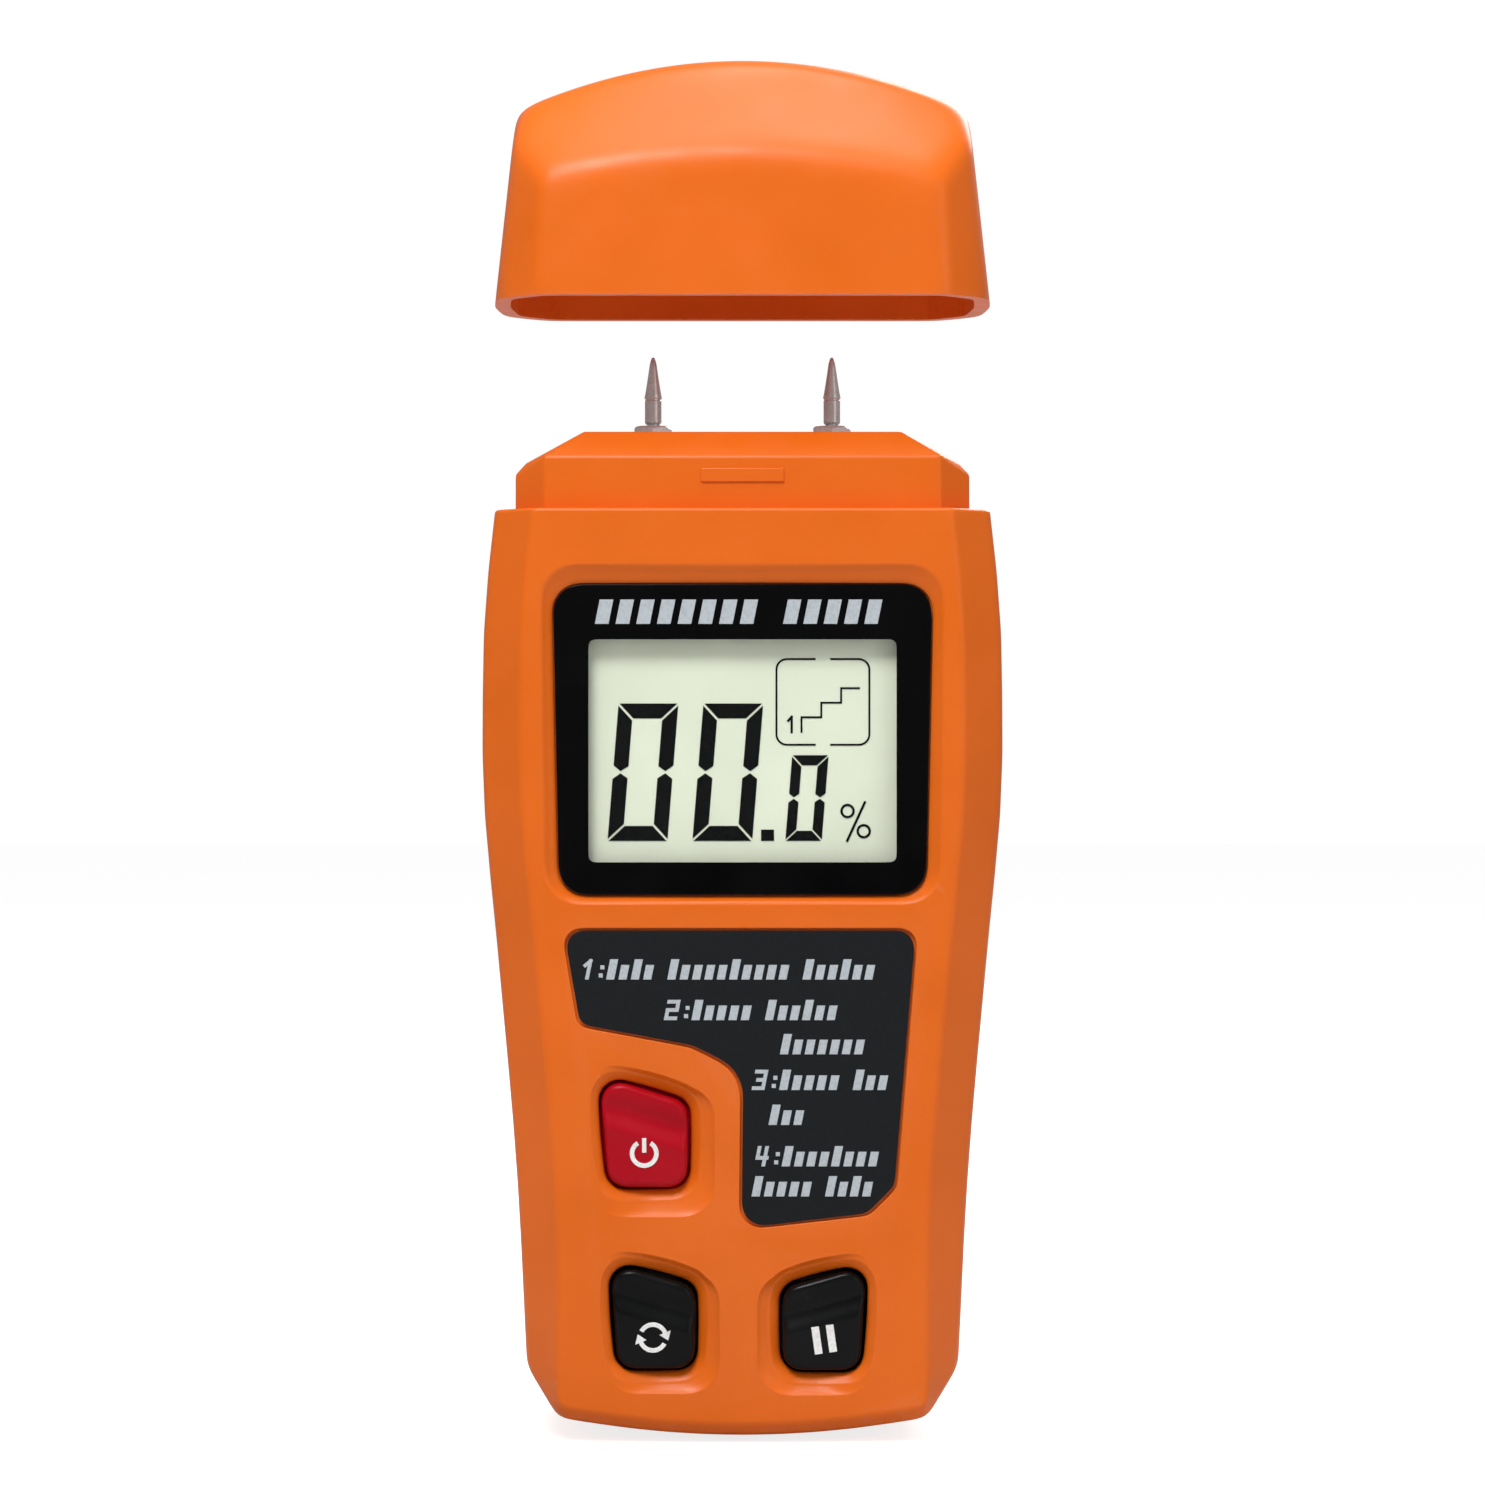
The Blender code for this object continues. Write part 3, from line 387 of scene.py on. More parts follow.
class Nodes:
    """A short way to wire up one material's nodes."""

    def __init__(self, name):
        self.material = bpy.data.materials.new(name)
        self.material.use_nodes = True
        self.tree = self.material.node_tree
        self.shader = self.tree.nodes["Principled BSDF"]
        self.place = self.add("ShaderNodeTexCoord").outputs["Object"]

    def add(self, kind, **values):
        node = self.tree.nodes.new(kind)
        for key, value in values.items():
            setattr(node, key, value)
        return node

    def wire(self, source, target):
        self.tree.links.new(source, target)

    def noise(self, grain_mm, detail=3.0, stretch=None):
        """Noise whose features are about grain_mm across."""
        node = self.add("ShaderNodeTexNoise")
        node.inputs["Scale"].default_value = 1 / (grain_mm * MM)
        node.inputs["Detail"].default_value = detail
        source = self.place
        if stretch:
            mapping = self.add("ShaderNodeMapping")
            mapping.inputs["Scale"].default_value = stretch
            self.wire(source, mapping.inputs["Vector"])
            source = mapping.outputs["Vector"]
        self.wire(source, node.inputs["Vector"])
        return node.outputs["Fac"]

    def spread(self, source, low, high, start=0.3, end=0.7):
        """Maps a source from start..end to low..high."""
        node = self.add("ShaderNodeMapRange")
        for key, value in (("From Min", start), ("From Max", end), ("To Min", low), ("To Max", high)):
            node.inputs[key].default_value = value
        self.wire(source, node.inputs["Value"])
        return node.outputs["Result"]

    def mix(self, share, a, b):
        """A colour between a and b, each a colour or a socket."""
        node = self.add("ShaderNodeMix", data_type="RGBA")
        for key, value in ((0, share), (6, a), (7, b)):
            if isinstance(value, (tuple, float)):
                node.inputs[key].default_value = value
            else:
                self.wire(value, node.inputs[key])
        return node.outputs[2]

    def bump(self, *layers):
        """Bumps stacked from (height socket, depth in mm) pairs."""
        normal = None
        for height, depth in layers:
            node = self.add("ShaderNodeBump")
            node.inputs["Distance"].default_value = depth * MM
            self.wire(height, node.inputs["Height"])
            if normal:
                self.wire(normal, node.inputs["Normal"])
            normal = node.outputs["Normal"]
        self.wire(normal, self.shader.inputs["Normal"])


def moulded(name, rgb, rough=0.45, grain=0.22, depth=0.006, vary=0.06, worn=0.35, sheen=0.5):
    """Moulded plastic: spark-eroded grain, faint flow mottling and edges rubbed pale."""
    n = Nodes(name)
    base = linear(rgb)
    dark = tuple(c * (1 - vary) for c in base[:3]) + (1.0,)
    pale = tuple(min(1.0, c * (1 + vary) + 0.004) for c in base[:3]) + (1.0,)
    rubbed = tuple(c + (1 - c) * 0.16 for c in base[:3]) + (1.0,)
    cloud = n.noise(14.0, 2.0)
    colour = n.mix(n.spread(cloud, 0.0, 1.0), dark, pale)
    edges = n.add("ShaderNodeNewGeometry").outputs["Pointiness"]
    edge = n.spread(edges, 0.0, worn, 0.52, 0.62)
    scuff = n.add("ShaderNodeMath", operation="MULTIPLY")
    n.wire(edge, scuff.inputs[0])
    n.wire(n.spread(n.noise(2.5, 4.0), 0.3, 1.0), scuff.inputs[1])
    n.wire(n.mix(scuff.outputs[0], colour, rubbed), n.shader.inputs["Base Color"])
    fine = n.noise(grain, 2.0)
    n.wire(n.spread(n.noise(5.0, 5.0), rough - 0.05, rough + 0.06), n.shader.inputs["Roughness"])
    n.bump((cloud, 0.012), (fine, depth))
    n.shader.inputs["Specular IOR Level"].default_value = sheen
    return n.material


def metal(name, rgb, rough=0.22, brushed=None, depth=0.004, vary=0.1, shine=1.0):
    """Plated or turned metal with fine marks and uneven polish."""
    n = Nodes(name)
    base = linear(rgb)
    dark = tuple(c * (1 - vary) for c in base[:3]) + (1.0,)
    n.shader.inputs["Metallic"].default_value = shine
    n.wire(n.mix(n.spread(n.noise(1.2, 4.0), 0.0, 1.0), dark, base), n.shader.inputs["Base Color"])
    marks = n.noise(0.5, 4.0, brushed or (1.0, 1.0, 8.0))
    n.wire(n.spread(marks, rough - 0.06, rough + 0.1), n.shader.inputs["Roughness"])
    n.bump((marks, depth))
    return n.material


def printed(name, rgb, rough=0.4):
    """Screen-printed ink: nearly flat, with small thin spots."""
    n = Nodes(name)
    base = linear(rgb)
    thin = tuple(c * 0.86 for c in base[:3]) + (1.0,)
    spots = n.noise(0.35, 3.0)
    n.wire(n.mix(n.spread(spots, 0.0, 1.0, 0.35, 0.55), thin, base), n.shader.inputs["Base Color"])
    n.wire(n.spread(spots, rough, rough + 0.12), n.shader.inputs["Roughness"])
    n.bump((spots, 0.003))
    return n.material


def film(name, rgb, rough=0.6):
    """A matte printed film with a woven-looking fine texture and a faint speckle."""
    n = Nodes(name)
    base = linear(rgb)
    pale = tuple(c * 1.5 + 0.001 for c in base[:3]) + (1.0,)
    n.shader.inputs["Specular IOR Level"].default_value = 0.22
    grain = n.noise(0.28, 3.0)
    n.wire(n.mix(n.spread(grain, 0.0, 1.0, 0.42, 0.7), base, pale), n.shader.inputs["Base Color"])
    n.wire(n.spread(grain, rough - 0.06, rough + 0.1), n.shader.inputs["Roughness"])
    n.bump((grain, 0.012))
    return n.material


def gloss(name, rgb, rough=0.06):
    """A polished surface with faint waviness and a few fine smears."""
    n = Nodes(name)
    base = linear(rgb)
    pale = tuple(c * 1.4 + 0.001 for c in base[:3]) + (1.0,)
    smear = n.noise(7.0, 4.0)
    n.wire(n.mix(n.spread(smear, 0.0, 1.0), base, pale), n.shader.inputs["Base Color"])
    n.wire(n.spread(smear, rough, rough + 0.07), n.shader.inputs["Roughness"])
    n.bump((n.noise(20.0, 1.0), 0.02))
    n.shader.inputs["Specular IOR Level"].default_value = 0.12
    return n.material


def pane(name):
    """Clear acrylic: mostly seen through, with a little reflection on the outer faces only."""
    n = Nodes(name)
    clear = n.add("ShaderNodeBsdfTransparent")
    shine = n.add("ShaderNodeBsdfGlossy")
    shine.inputs["Roughness"].default_value = 0.05
    edge = n.add("ShaderNodeFresnel")
    edge.inputs["IOR"].default_value = 1.25
    blend = n.add("ShaderNodeMixShader")
    n.wire(n.spread(n.noise(7.0, 3.0), 0.03, 0.08), shine.inputs["Roughness"])
    outer = n.add("ShaderNodeMath")
    outer.operation = "MULTIPLY"
    n.wire(edge.outputs["Fac"], outer.inputs[0])
    n.wire(n.spread(n.add("ShaderNodeNewGeometry").outputs["Backfacing"], 1.0, 0.0, 0.0, 1.0), outer.inputs[1])
    n.wire(outer.outputs[0], blend.inputs[0])
    n.wire(clear.outputs[0], blend.inputs[1])
    n.wire(shine.outputs[0], blend.inputs[2])
    n.wire(blend.outputs[0], n.tree.nodes["Material Output"].inputs["Surface"])
    return n.material


def crystal(name, rgb):
    """The reflective rear of a liquid crystal display: pale, fine-grained, a little uneven."""
    n = Nodes(name)
    base = linear(rgb)
    dim = tuple(c * 0.88 for c in base[:3]) + (1.0,)
    cloud = n.mix(n.spread(n.noise(16.0, 2.0), 0.0, 1.0), dim, base)
    speck = n.spread(n.noise(0.16, 2.0), 0.0, 0.35)
    n.wire(n.mix(speck, cloud, dim), n.shader.inputs["Base Color"])
    n.wire(n.spread(n.noise(0.5, 2.0), 0.35, 0.5), n.shader.inputs["Roughness"])
    n.bump((n.noise(0.2, 2.0), 0.002))
    return n.material


def board_mask(name):
    """Green solder mask over faint copper tracks."""
    n = Nodes(name)
    wave = n.add("ShaderNodeTexBrick")
    wave.inputs["Scale"].default_value = 180.0
    wave.inputs["Mortar Size"].default_value = 0.02
    n.wire(n.place, wave.inputs["Vector"])
    tint = n.mix(n.spread(n.noise(4.0, 3.0), 0.0, 1.0), linear((12, 84, 44)), linear((20, 104, 56)))
    n.wire(n.mix(n.spread(wave.outputs["Fac"], 0.0, 0.35, 0.0, 1.0), tint, linear((44, 132, 72))),
           n.shader.inputs["Base Color"])
    n.wire(n.spread(n.noise(1.0, 3.0), 0.25, 0.4), n.shader.inputs["Roughness"])
    n.bump((wave.outputs["Fac"], 0.02))
    return n.material


def striped(name):
    """Elastomer with fine conductive stripes."""
    n = Nodes(name)
    wave = n.add("ShaderNodeTexWave", bands_direction="X")
    wave.inputs["Scale"].default_value = 700.0
    n.wire(n.place, wave.inputs["Vector"])
    n.wire(n.mix(wave.outputs["Fac"], linear((60, 40, 44)), linear((206, 120, 132))),
           n.shader.inputs["Base Color"])
    n.wire(n.spread(n.noise(0.6, 2.0), 0.5, 0.7), n.shader.inputs["Roughness"])
    n.bump((wave.outputs["Fac"], 0.02))
    return n.material


ORANGE = (229, 104, 10)
LOOKS = {
    "orange_plastic": moulded("orange_plastic", ORANGE, 0.38, vary=0.03, worn=0.15, sheen=0.3),
    "nickel": metal("nickel", (212, 215, 214), 0.3, shine=0.45),
    "brass": metal("brass", (214, 178, 104), 0.28),
    "screw_steel": metal("screw_steel", (112, 112, 116), 0.36),
    "black_key": moulded("black_key", (4, 5, 6), 0.3, 0.18, 0.003, 0.15, 0.02, 0.15),
    "red_key": moulded("red_key", (176, 0, 24), 0.34, 0.18, 0.003, 0.05, 0.03, 0.15),
    "window": gloss("window", (2, 2, 3)),
    "lcd": crystal("lcd", (240, 248, 224)),
    "holder": moulded("holder", (214, 212, 204), 0.5),
    "zebra": striped("zebra"),
    "circuit_board": board_mask("circuit_board"),
    "label": film("label", (12, 16, 20)),
    "black_parts": moulded("black_parts", (34, 34, 36), 0.5),
    "plunger": moulded("plunger", (206, 204, 196), 0.45),
    "blue_part": moulded("blue_part", (44, 84, 172), 0.32),
    "capacitor_can": gloss("capacitor_can", (28, 34, 78), 0.18),
    "battery_can": metal("battery_can", (66, 68, 76), 0.3),
    "snap_rubber": moulded("snap_rubber", (28, 28, 30), 0.6, 0.4, 0.01),
    "black_wire": moulded("black_wire", (22, 22, 24), 0.45),
    "red_wire": moulded("red_wire", (190, 24, 24), 0.45),
}
INK = printed("pale_ink", (186, 194, 200))
WHITE_INK = printed("white_ink", (246, 246, 244))
SEGMENT = gloss("segment", (8, 9, 10), 0.22)
PANE = pane("clear_pane")


def finished(obj, body, slot, *nodes, looks=None):
    """Gives a piece its finish and its body, and hides the nodes that it stands for."""
    obj.data.materials.clear()
    for look in looks or (LOOKS[slot],):
        obj.data.materials.append(look)
    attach(obj, body)
    if nodes:
        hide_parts(*nodes)
    return obj


# ---------------------------------------------------------------- case

CREASE_REACH = 0.65
WALL_CREASE_REACH = 0.85
SHELL_WALL = 1.7
SHELL_OVERLAP = 0.2
STATION = 0.6
CORNER_STEPS = 12
FOOT_STEPS = 38
CORNER_EASING = 5
SLANT = 0.41
FLAT_MARGIN = 1.1
FOOT_PROBE = 14.0
PARTING_GROOVE = 0.18
EDGE_ROUND = 0.45
EDGE_STEPS = 4
HEAD_ROUND = 0.8
PARTING_GAP = 0.05
STEM_HOLE = 2.1
RIB_PROUD = 0.3

SHELL_SIGN = {"front_shell": -1, "rear_shell": 1}
HALF_DEPTH = node_box("rear_shell")[1].y
CAP_LOW, CAP_HIGH = node_box("cap")
FOOT_Z = node_box("front_shell")[0].z
HEAD_TOP = node_box("front_shell")[1].z


def shoulder_height(tree, sign):
    """The height where the body steps in to the head, found by looking down beside the head."""
    x = CAP_HIGH.x - 1.0
    return tree.ray_cast(Vector((x, sign * 1.0, HEAD_TOP)), Vector((0, 0, -1)))[0].z


def bottom_corner(loop):
    """The point of an outline that lies farthest down and to the right."""
    return loop[np.argmax(loop[:, 0] - loop[:, 1])]


def side_corner(loop):
    """The point where the side of an outline turns in towards the foot."""
    return loop[np.argmax(loop[:, 0] - 0.35 * loop[:, 1])]


def body_lines(node, top, inset=0.0):
    """Four lines along the right half of the body, from the shoulder down and in to the middle of the foot.

    They are the outline at the parting plane, the crease from side to bevel, the crease
    of the flat front and a line a little inside that. Each row holds one (x, |y|, z) of
    each. An inset moves them in from the surface.
    """
    sign = SHELL_SIGN[node]
    tree = node_tree(node)
    near, far = 0.02, HALF_DEPTH - 0.02

    def side(y, z):
        return tree.ray_cast(Vector((60.0, sign * y, z)), Vector((-1, 0, 0)))[0].x

    def under(y, x):
        return tree.ray_cast(Vector((x, sign * y, -20.0)), Vector((0, 0, 1)))[0].z

    middle = top * 0.75
    wall, flat = side(near, middle), side(far, middle)
    lean = (wall - side(5.0, middle)) / 5.0
    bevel_y = (flat + HALF_DEPTH - wall) / (1 - lean)
    lift = under(far, 0.3) - under(FOOT_PROBE, 0.3)
    high = side_corner(sections(node, sign * near)[0])[1]
    heights = np.linspace(top, high, int((top - high) / STATION))

    def line(beside, below, shift, slide):
        corner = bottom_corner(sections(node, sign * below)[0])
        rows = [(side(beside, z) - shift, z) for z in heights]
        start, end = np.array(rows[-1]), corner + np.array([-slide * shift, shift])
        rows += [start + (end - start) * k / CORNER_STEPS for k in range(1, CORNER_STEPS + 1)]
        for k in range(1, FOOT_STEPS + 1):
            share = 1 - k / FOOT_STEPS
            rows.append((end[0] * share, under(below, max(corner[0] * share, 0.01)) + shift))
        return np.array(rows)

    slant = SLANT * inset
    flat_lines = [line(far, far, slant + 0.02 + more, 1.0) for more in (0.0, FLAT_MARGIN)]
    plan = np.stack([line(near, near, inset, 0.45), line(bevel_y - 0.1, FOOT_PROBE, inset, 0.45), *flat_lines], 1)
    late = np.clip((np.arange(len(plan)) - len(heights) + 1) / CORNER_STEPS, 0.0, 1.0)
    depth = np.full(plan.shape[:2], HALF_DEPTH - inset)
    depth[:, 0] = 0.0
    depth[:, 1] = bevel_y + (HALF_DEPTH - lift - bevel_y) * late - slant
    return np.stack([plan[..., 0], depth, plan[..., 1]], 2)


def inwards(line):
    """Unit vectors in the front plane that point from an outline to its inside."""
    along = np.gradient(line, axis=0)
    way = np.stack([along[:, 2], np.zeros(len(line)), -along[:, 0]], 1)
    way /= np.linalg.norm(way, axis=1)[:, None]
    middle = line.mean(0)
    return way * np.sign(np.sum((middle - line) * way, axis=1))[:, None]


def eased(a, corner, b, reach, share_b=0.45, steps=6):
    """A quadratic curve past a corner, from the side of a to the side of b."""
    u = a - corner
    v = b - corner
    lu = np.linalg.norm(u, axis=1)[:, None]
    lv = np.linalg.norm(v, axis=1)[:, None]
    start = corner + u / lu * np.minimum(reach, lu * 0.45)
    end = corner + v / lv * np.minimum(reach, lv * share_b)
    out = []
    for k in range(steps + 1):
        t = k / steps
        out.append(start * (1 - t) ** 2 + corner * 2 * t * (1 - t) + end * t * t)
    return out


def moved_in(station, by, z):
    """A station moved in from the surface, at another height."""
    moved = station.copy()
    moved[:, 0] -= by * np.array([1.0, 1.0, SLANT, SLANT])
    moved[:, 1] -= by * np.array([0.0, SLANT, 1.0, 1.0])
    moved[:, 2] = z
    return moved


def mirrored(half):
    return np.concatenate([half, (half[:-1] * np.array([-1, 1, 1]))[::-1]])


def body_solid(name, node, shoulder, inset=0.0):
    """Half the body as a solid. An inset makes the smaller form of its hollow instead."""
    sign = SHELL_SIGN[node]
    round_steps = 0 if inset else EDGE_STEPS
    if inset:
        whole = mirrored(body_lines(node, shoulder - inset, inset))
    else:
        half = body_lines(node, shoulder - EDGE_ROUND)
        whole = mirrored(half)
        for _ in range(CORNER_EASING):
            whole[1:-1] = (whole[:-2] + 2 * whole[1:-1] + whole[2:]) / 4
        top = []
        for k in range(round_steps, 0, -1):
            turn = math.pi / 2 * k / round_steps
            top.append(moved_in(half[0], EDGE_ROUND * (1 - math.cos(turn)),
                                shoulder - EDGE_ROUND * (1 - math.sin(turn))))
        top = np.array(top)
        whole = np.concatenate([top, whole, (top * np.array([-1, 1, 1]))[::-1]])
    whole[..., 1] *= sign
    wall, crease, flat, inner = (whole[:, k].copy() for k in range(4))
    if inset:
        wall[:, 1] = -sign * 2.0
        rows = [wall, crease, flat]
    else:
        groove = wall + inwards(wall) * PARTING_GROOVE
        groove[[0, -1], 2] = shoulder
        lip = wall.copy()
        lip[:, 1] = sign * PARTING_GROOVE
        rows = [groove, lip]
        rows += [lip * (1 - t) + crease * t for t in (0.25, 0.5, 0.75)]
        rows += eased(lip, crease, flat, WALL_CREASE_REACH)
        rows += eased(crease, flat, inner, CREASE_REACH, 1.0)
    bm = bmesh.new()
    grid = [[bm.verts.new(p) for p in row] for row in rows]
    for a, b in zip(grid, grid[1:]):
        for i in range(len(a) - 1):
            bm.faces.new((a[i], a[i + 1], b[i + 1], b[i]))
    bm.faces.new(grid[0])
    front = grid[-1]
    for k in range(round_steps):
        bm.faces.new((front[k], front[-1 - k], front[-2 - k], front[k + 1]))
    bm.faces.new(front[round_steps:len(front) - round_steps])
    bm.faces.new([row[0] for row in grid] + [row[-1] for row in reversed(grid)])
    bmesh.ops.recalc_face_normals(bm, faces=bm.faces)
    return new_object(name, bm)


def head_points(shoulder, low):
    """The corner points of the head without its rib, drawn down to a lower height."""
    points = []
    for node in SHELL_SIGN:
        bm = node_mesh(node)
        points += [v.co.copy() for v in bm.verts if v.co.z > shoulder + 0.05]
        bm.free()
    flat = max(abs(p.y) for p in points if p.y > 0)
    points = [p for p in points if abs(p.y) <= flat + 0.02]
    return points + [Vector((p.x, p.y, low)) for p in points if p.z < HEAD_TOP - 3.0], flat


def head_solid(name, sign, shoulder, inset=0.0):
    """Half the head as a solid with rounded edges. An inset makes its hollow instead."""
    points, flat = head_points(shoulder, shoulder - (8.0 if inset else 3.0))
    if inset:
        half_x = max(p.x for p in points)
        bm = hulled([Vector((p.x * (1 - inset / half_x), p.y * (1 - inset / flat), p.z - inset)) for p in points])
    else:
        bm = rounded_hull(points, HEAD_ROUND)
    start = -sign * 2.0 if inset else 0.0
    geom = list(bm.verts) + list(bm.edges) + list(bm.faces)
    found = bmesh.ops.bisect_plane(bm, geom=geom, plane_co=(0, start, 0), plane_no=(0, -sign, 0), clear_outer=True)
    rim = [e for e in found["geom_cut"] if isinstance(e, bmesh.types.BMEdge)]
    bmesh.ops.contextual_create(bm, geom=rim)
    bmesh.ops.recalc_face_normals(bm, faces=bm.faces)
    return new_object(name, bm)


def hollow(name, node, shoulder, inset):
    space = body_solid(name, node, shoulder, inset)
    return join(space, head_solid(name + "_head", SHELL_SIGN[node], shoulder, inset))


def shell(node):
    """A refined outer skin, with the node's own posts and ribs kept inside it."""
    sign = SHELL_SIGN[node]
    shoulder = shoulder_height(node_tree(node), sign)
    body = body_solid(node + "_skin", node, shoulder)
    join(body, head_solid(node + "_head_skin", sign, shoulder))
    cut(body, hollow(node + "_hollow", node, shoulder, SHELL_WALL))
    inside = copy_of_node(node, **({"keep_to": -PARTING_GAP} if sign < 0 else {"keep_from": PARTING_GAP}))
    boolean(inside, hollow(node + "_core", node, shoulder, SHELL_WALL - SHELL_OVERLAP), "INTERSECT")
    join(body, inside)
    for side in ("left", "right"):
        low, high = node_box("terminal_nut_" + side)
        x = (low.x + high.x) / 2
        profile = ((STEM_HOLE, low.z - 1.0), (STEM_HOLE, HEAD_TOP + 1.0))
        cut(body, turned(f"{node}_stem_hole_{side}", profile, (x, 0.0, 0.0), 32, phase=0.05))
    return body


# ---------------------------------------------------------------- dishes and openings

KEY_NAMES = ("power", "mode", "hold")
KEY_FADE_SIDE = {"power": math.pi, "mode": math.pi, "hold": 0.0}
KEY_RIM = 1.75
DISH_DROP = 0.95
RAY_COUNT = 240


def sweep(name, centre, layers):
    """A cutter from layers of (radii, depth) about a centre, in directions all round."""
    angles = np.linspace(0, 2 * math.pi, len(layers[0][0]), endpoint=False)
    rings = []
    for radii, y in layers:
        loop = centre + np.stack([np.cos(angles), np.sin(angles)], 1) * radii[:, None]
        rings.append(flat_ring(loop, y))
    return lofted(name, rings)


def key_middle(name):
    low, high = node_box(name + "_key")
    loop = section_round(name + "_key", (low.y + high.y) / 2 - 0.6, np.array([(low.x + high.x) / 2,
                                                                             (low.z + high.z) / 2]))
    return loop, (loop.max(0) + loop.min(0)) / 2


def key_surround(name):
    """The cutter for a key's opening, its rounded rim and the shallow dish that fades out on one side."""
    outline, centre = key_middle(name)
    angles = np.linspace(0, 2 * math.pi, RAY_COUNT, endpoint=False)
    key = smoothed_ring(reach(outline, centre, angles), 2)
    front = -HALF_DEPTH
    dish = section_round("front_shell", front + 0.05, centre)
    far = smoothed_ring(reach(dish, centre, angles), 5)
    toward = np.cos(angles - KEY_FADE_SIDE[name])
    fade = 1 - smoothstep(toward, -0.15, 0.75)
    drop = DISH_DROP * fade - 0.06
    rim = key + KEY_RIM
    far = np.maximum(far, rim + 0.8)
    layers = [(far + 1.6, front - 1.2), (far + 0.35, front - 0.14), (far + 0.02, front - 0.02)]
    layers.append((far - 0.14, front - 0.02 + 0.14 * fade))
    for share in (0.2, 0.4, 0.6, 0.8, 1.0):
        lip = far - 0.14 + (rim + 0.12 - far + 0.14) * share
        layers.append((lip, front - 0.02 + 0.14 * fade + (drop - 0.1 * fade) * share ** 0.75))
    hole = key + 0.42
    floor = front - 0.02 + drop + 0.04 * fade
    layers.append((rim - 0.04, floor + 0.03))
    layers.append((rim - 0.16, floor + 0.11))
    layers.append((hole + 0.42, floor + 0.62))
    layers.append((hole + 0.16, floor + 0.86))
    layers.append((hole + 0.03, floor + 1.3))
    layers.append((hole, front + 3.4))
    layers.append((hole, front + 5.0))
    return sweep(name + "_surround", centre, layers)


def window_cutters():
    """The dished frame round the window, its seat and its opening."""
    front = -HALF_DEPTH
    low, high = node_box("window_lens")
    centre = np.array([(low.x + high.x) / 2, (low.z + high.z) / 2])
    angles = np.linspace(0, 2 * math.pi, RAY_COUNT * 3, endpoint=False)
    lens = smoothed_ring(reach(section_round("window_lens", (low.y + high.y) / 2, centre), centre, angles), 4)
    rim = smoothed_ring(reach(section_round("front_shell", front + 0.05, centre), centre, angles), 6)
    step = lens + 0.22
    floor = low.y + 0.55
    layers = [(rim + 2.2, front - 1.1), (rim + 0.45, front - 0.03)]
    for k in range(1, 5):
        share = k / 4
        layers.append((rim + 0.45 - 0.75 * share, front - 0.03 + 0.2 * share * share))
    for share in (0.25, 0.5, 0.75, 1.0):
        inner = rim - 0.3 + (step - rim + 0.3) * share
        layers.append((inner, front + 0.17 + (floor - front - 0.17) * share ** 0.75))
    layers.append((step, high.y + 0.3))
    dish = sweep("window_dish", centre, layers)
    inner = lens - 1.9
    opening = sweep("window_opening", centre, [(inner, front - 1.0), (inner, front + 6.0)])
    return dish, opening


def label_cutter():
    front = -HALF_DEPTH
    low, high = node_box("facia_label")
    loop = softened(evened(section_round("front_shell", front + 0.3, np.array([high.x - 2.5, high.z - 3.0])), 0.35), 3)
    floor = high.y + 0.28
    rings = [flat_ring(grown(loop, 0.5), front - 0.6), flat_ring(grown(loop, 0.16), front - 0.02),
             flat_ring(grown(loop, 0.04), front + 0.08), flat_ring(loop, front + 0.2), flat_ring(loop, floor)]
    return lofted("label_cutter", rings)


def detent_rib(shoulder):
    """The small raised bar in front of the head that the cap snaps over."""
    flat = head_points(shoulder, shoulder)[1]
    bm = node_mesh("front_shell")
    proud = [v.co.copy() for v in bm.verts if v.co.z > shoulder and v.co.y < -flat - 0.1]
    bm.free()
    low = (min(p.x for p in proud), -flat - RIB_PROUD, min(p.z for p in proud))
    high = (max(p.x for p in proud), -flat + 0.8, max(p.z for p in proud))
    return rounded_box("detent_rib", low, high, 0.16)


def front_shell():
    body = shell("front_shell")
    join(body, detent_rib(shoulder_height(node_tree("front_shell"), SHELL_SIGN["front_shell"])))
    cut(body, *window_cutters())
    cut(body, label_cutter())
    for name in KEY_NAMES:
        cut(body, key_surround(name))
    body.name = "front_case"
    even_normals(body)
    return finished(body, "meter", "orange_plastic", "front_shell")


def rear_shell():
    body = shell("rear_shell")
    low, high = node_box("battery_door")
    door = sections("battery_door", high.y - 0.9)[0]
    loop = softened(evened(door, 0.4), 2)
    rings = [flat_ring(grown(loop, 0.9), HALF_DEPTH + 0.5), flat_ring(grown(loop, 0.62), HALF_DEPTH + 0.01),
             flat_ring(grown(loop, 0.42), HALF_DEPTH - 0.25), flat_ring(grown(loop, 0.36), HALF_DEPTH - 0.5),
             flat_ring(grown(loop, 0.36), low.y + 1.6)]
    cut(body, lofted("door_seat", rings))
    for name in sorted(n for n in frame["nodes"] if n.startswith("case_screw")):
        a, b = node_box(name)
        x, z = (a.x + b.x) / 2, (a.z + b.z) / 2
        radius = (b.x - a.x) / 2 + 0.45
        profile = ((radius, b.y - 1.5), (radius, HALF_DEPTH - 0.5), (radius + 0.12, HALF_DEPTH - 0.18),
                   (radius + 0.4, HALF_DEPTH + 0.01), (radius + 1.2, HALF_DEPTH + 0.6))
        cut(body, turned(name + "_bore", profile, (x, 0.0, z), 40, "Y"))
    body.name = "rear_case"
    even_normals(body)
    return finished(body, "meter", "orange_plastic", "rear_shell")


# ---------------------------------------------------------------- cap

CAP_CELL = 0.8
CAP_SOFTEN = 14
CAP_SKIN = 1.9


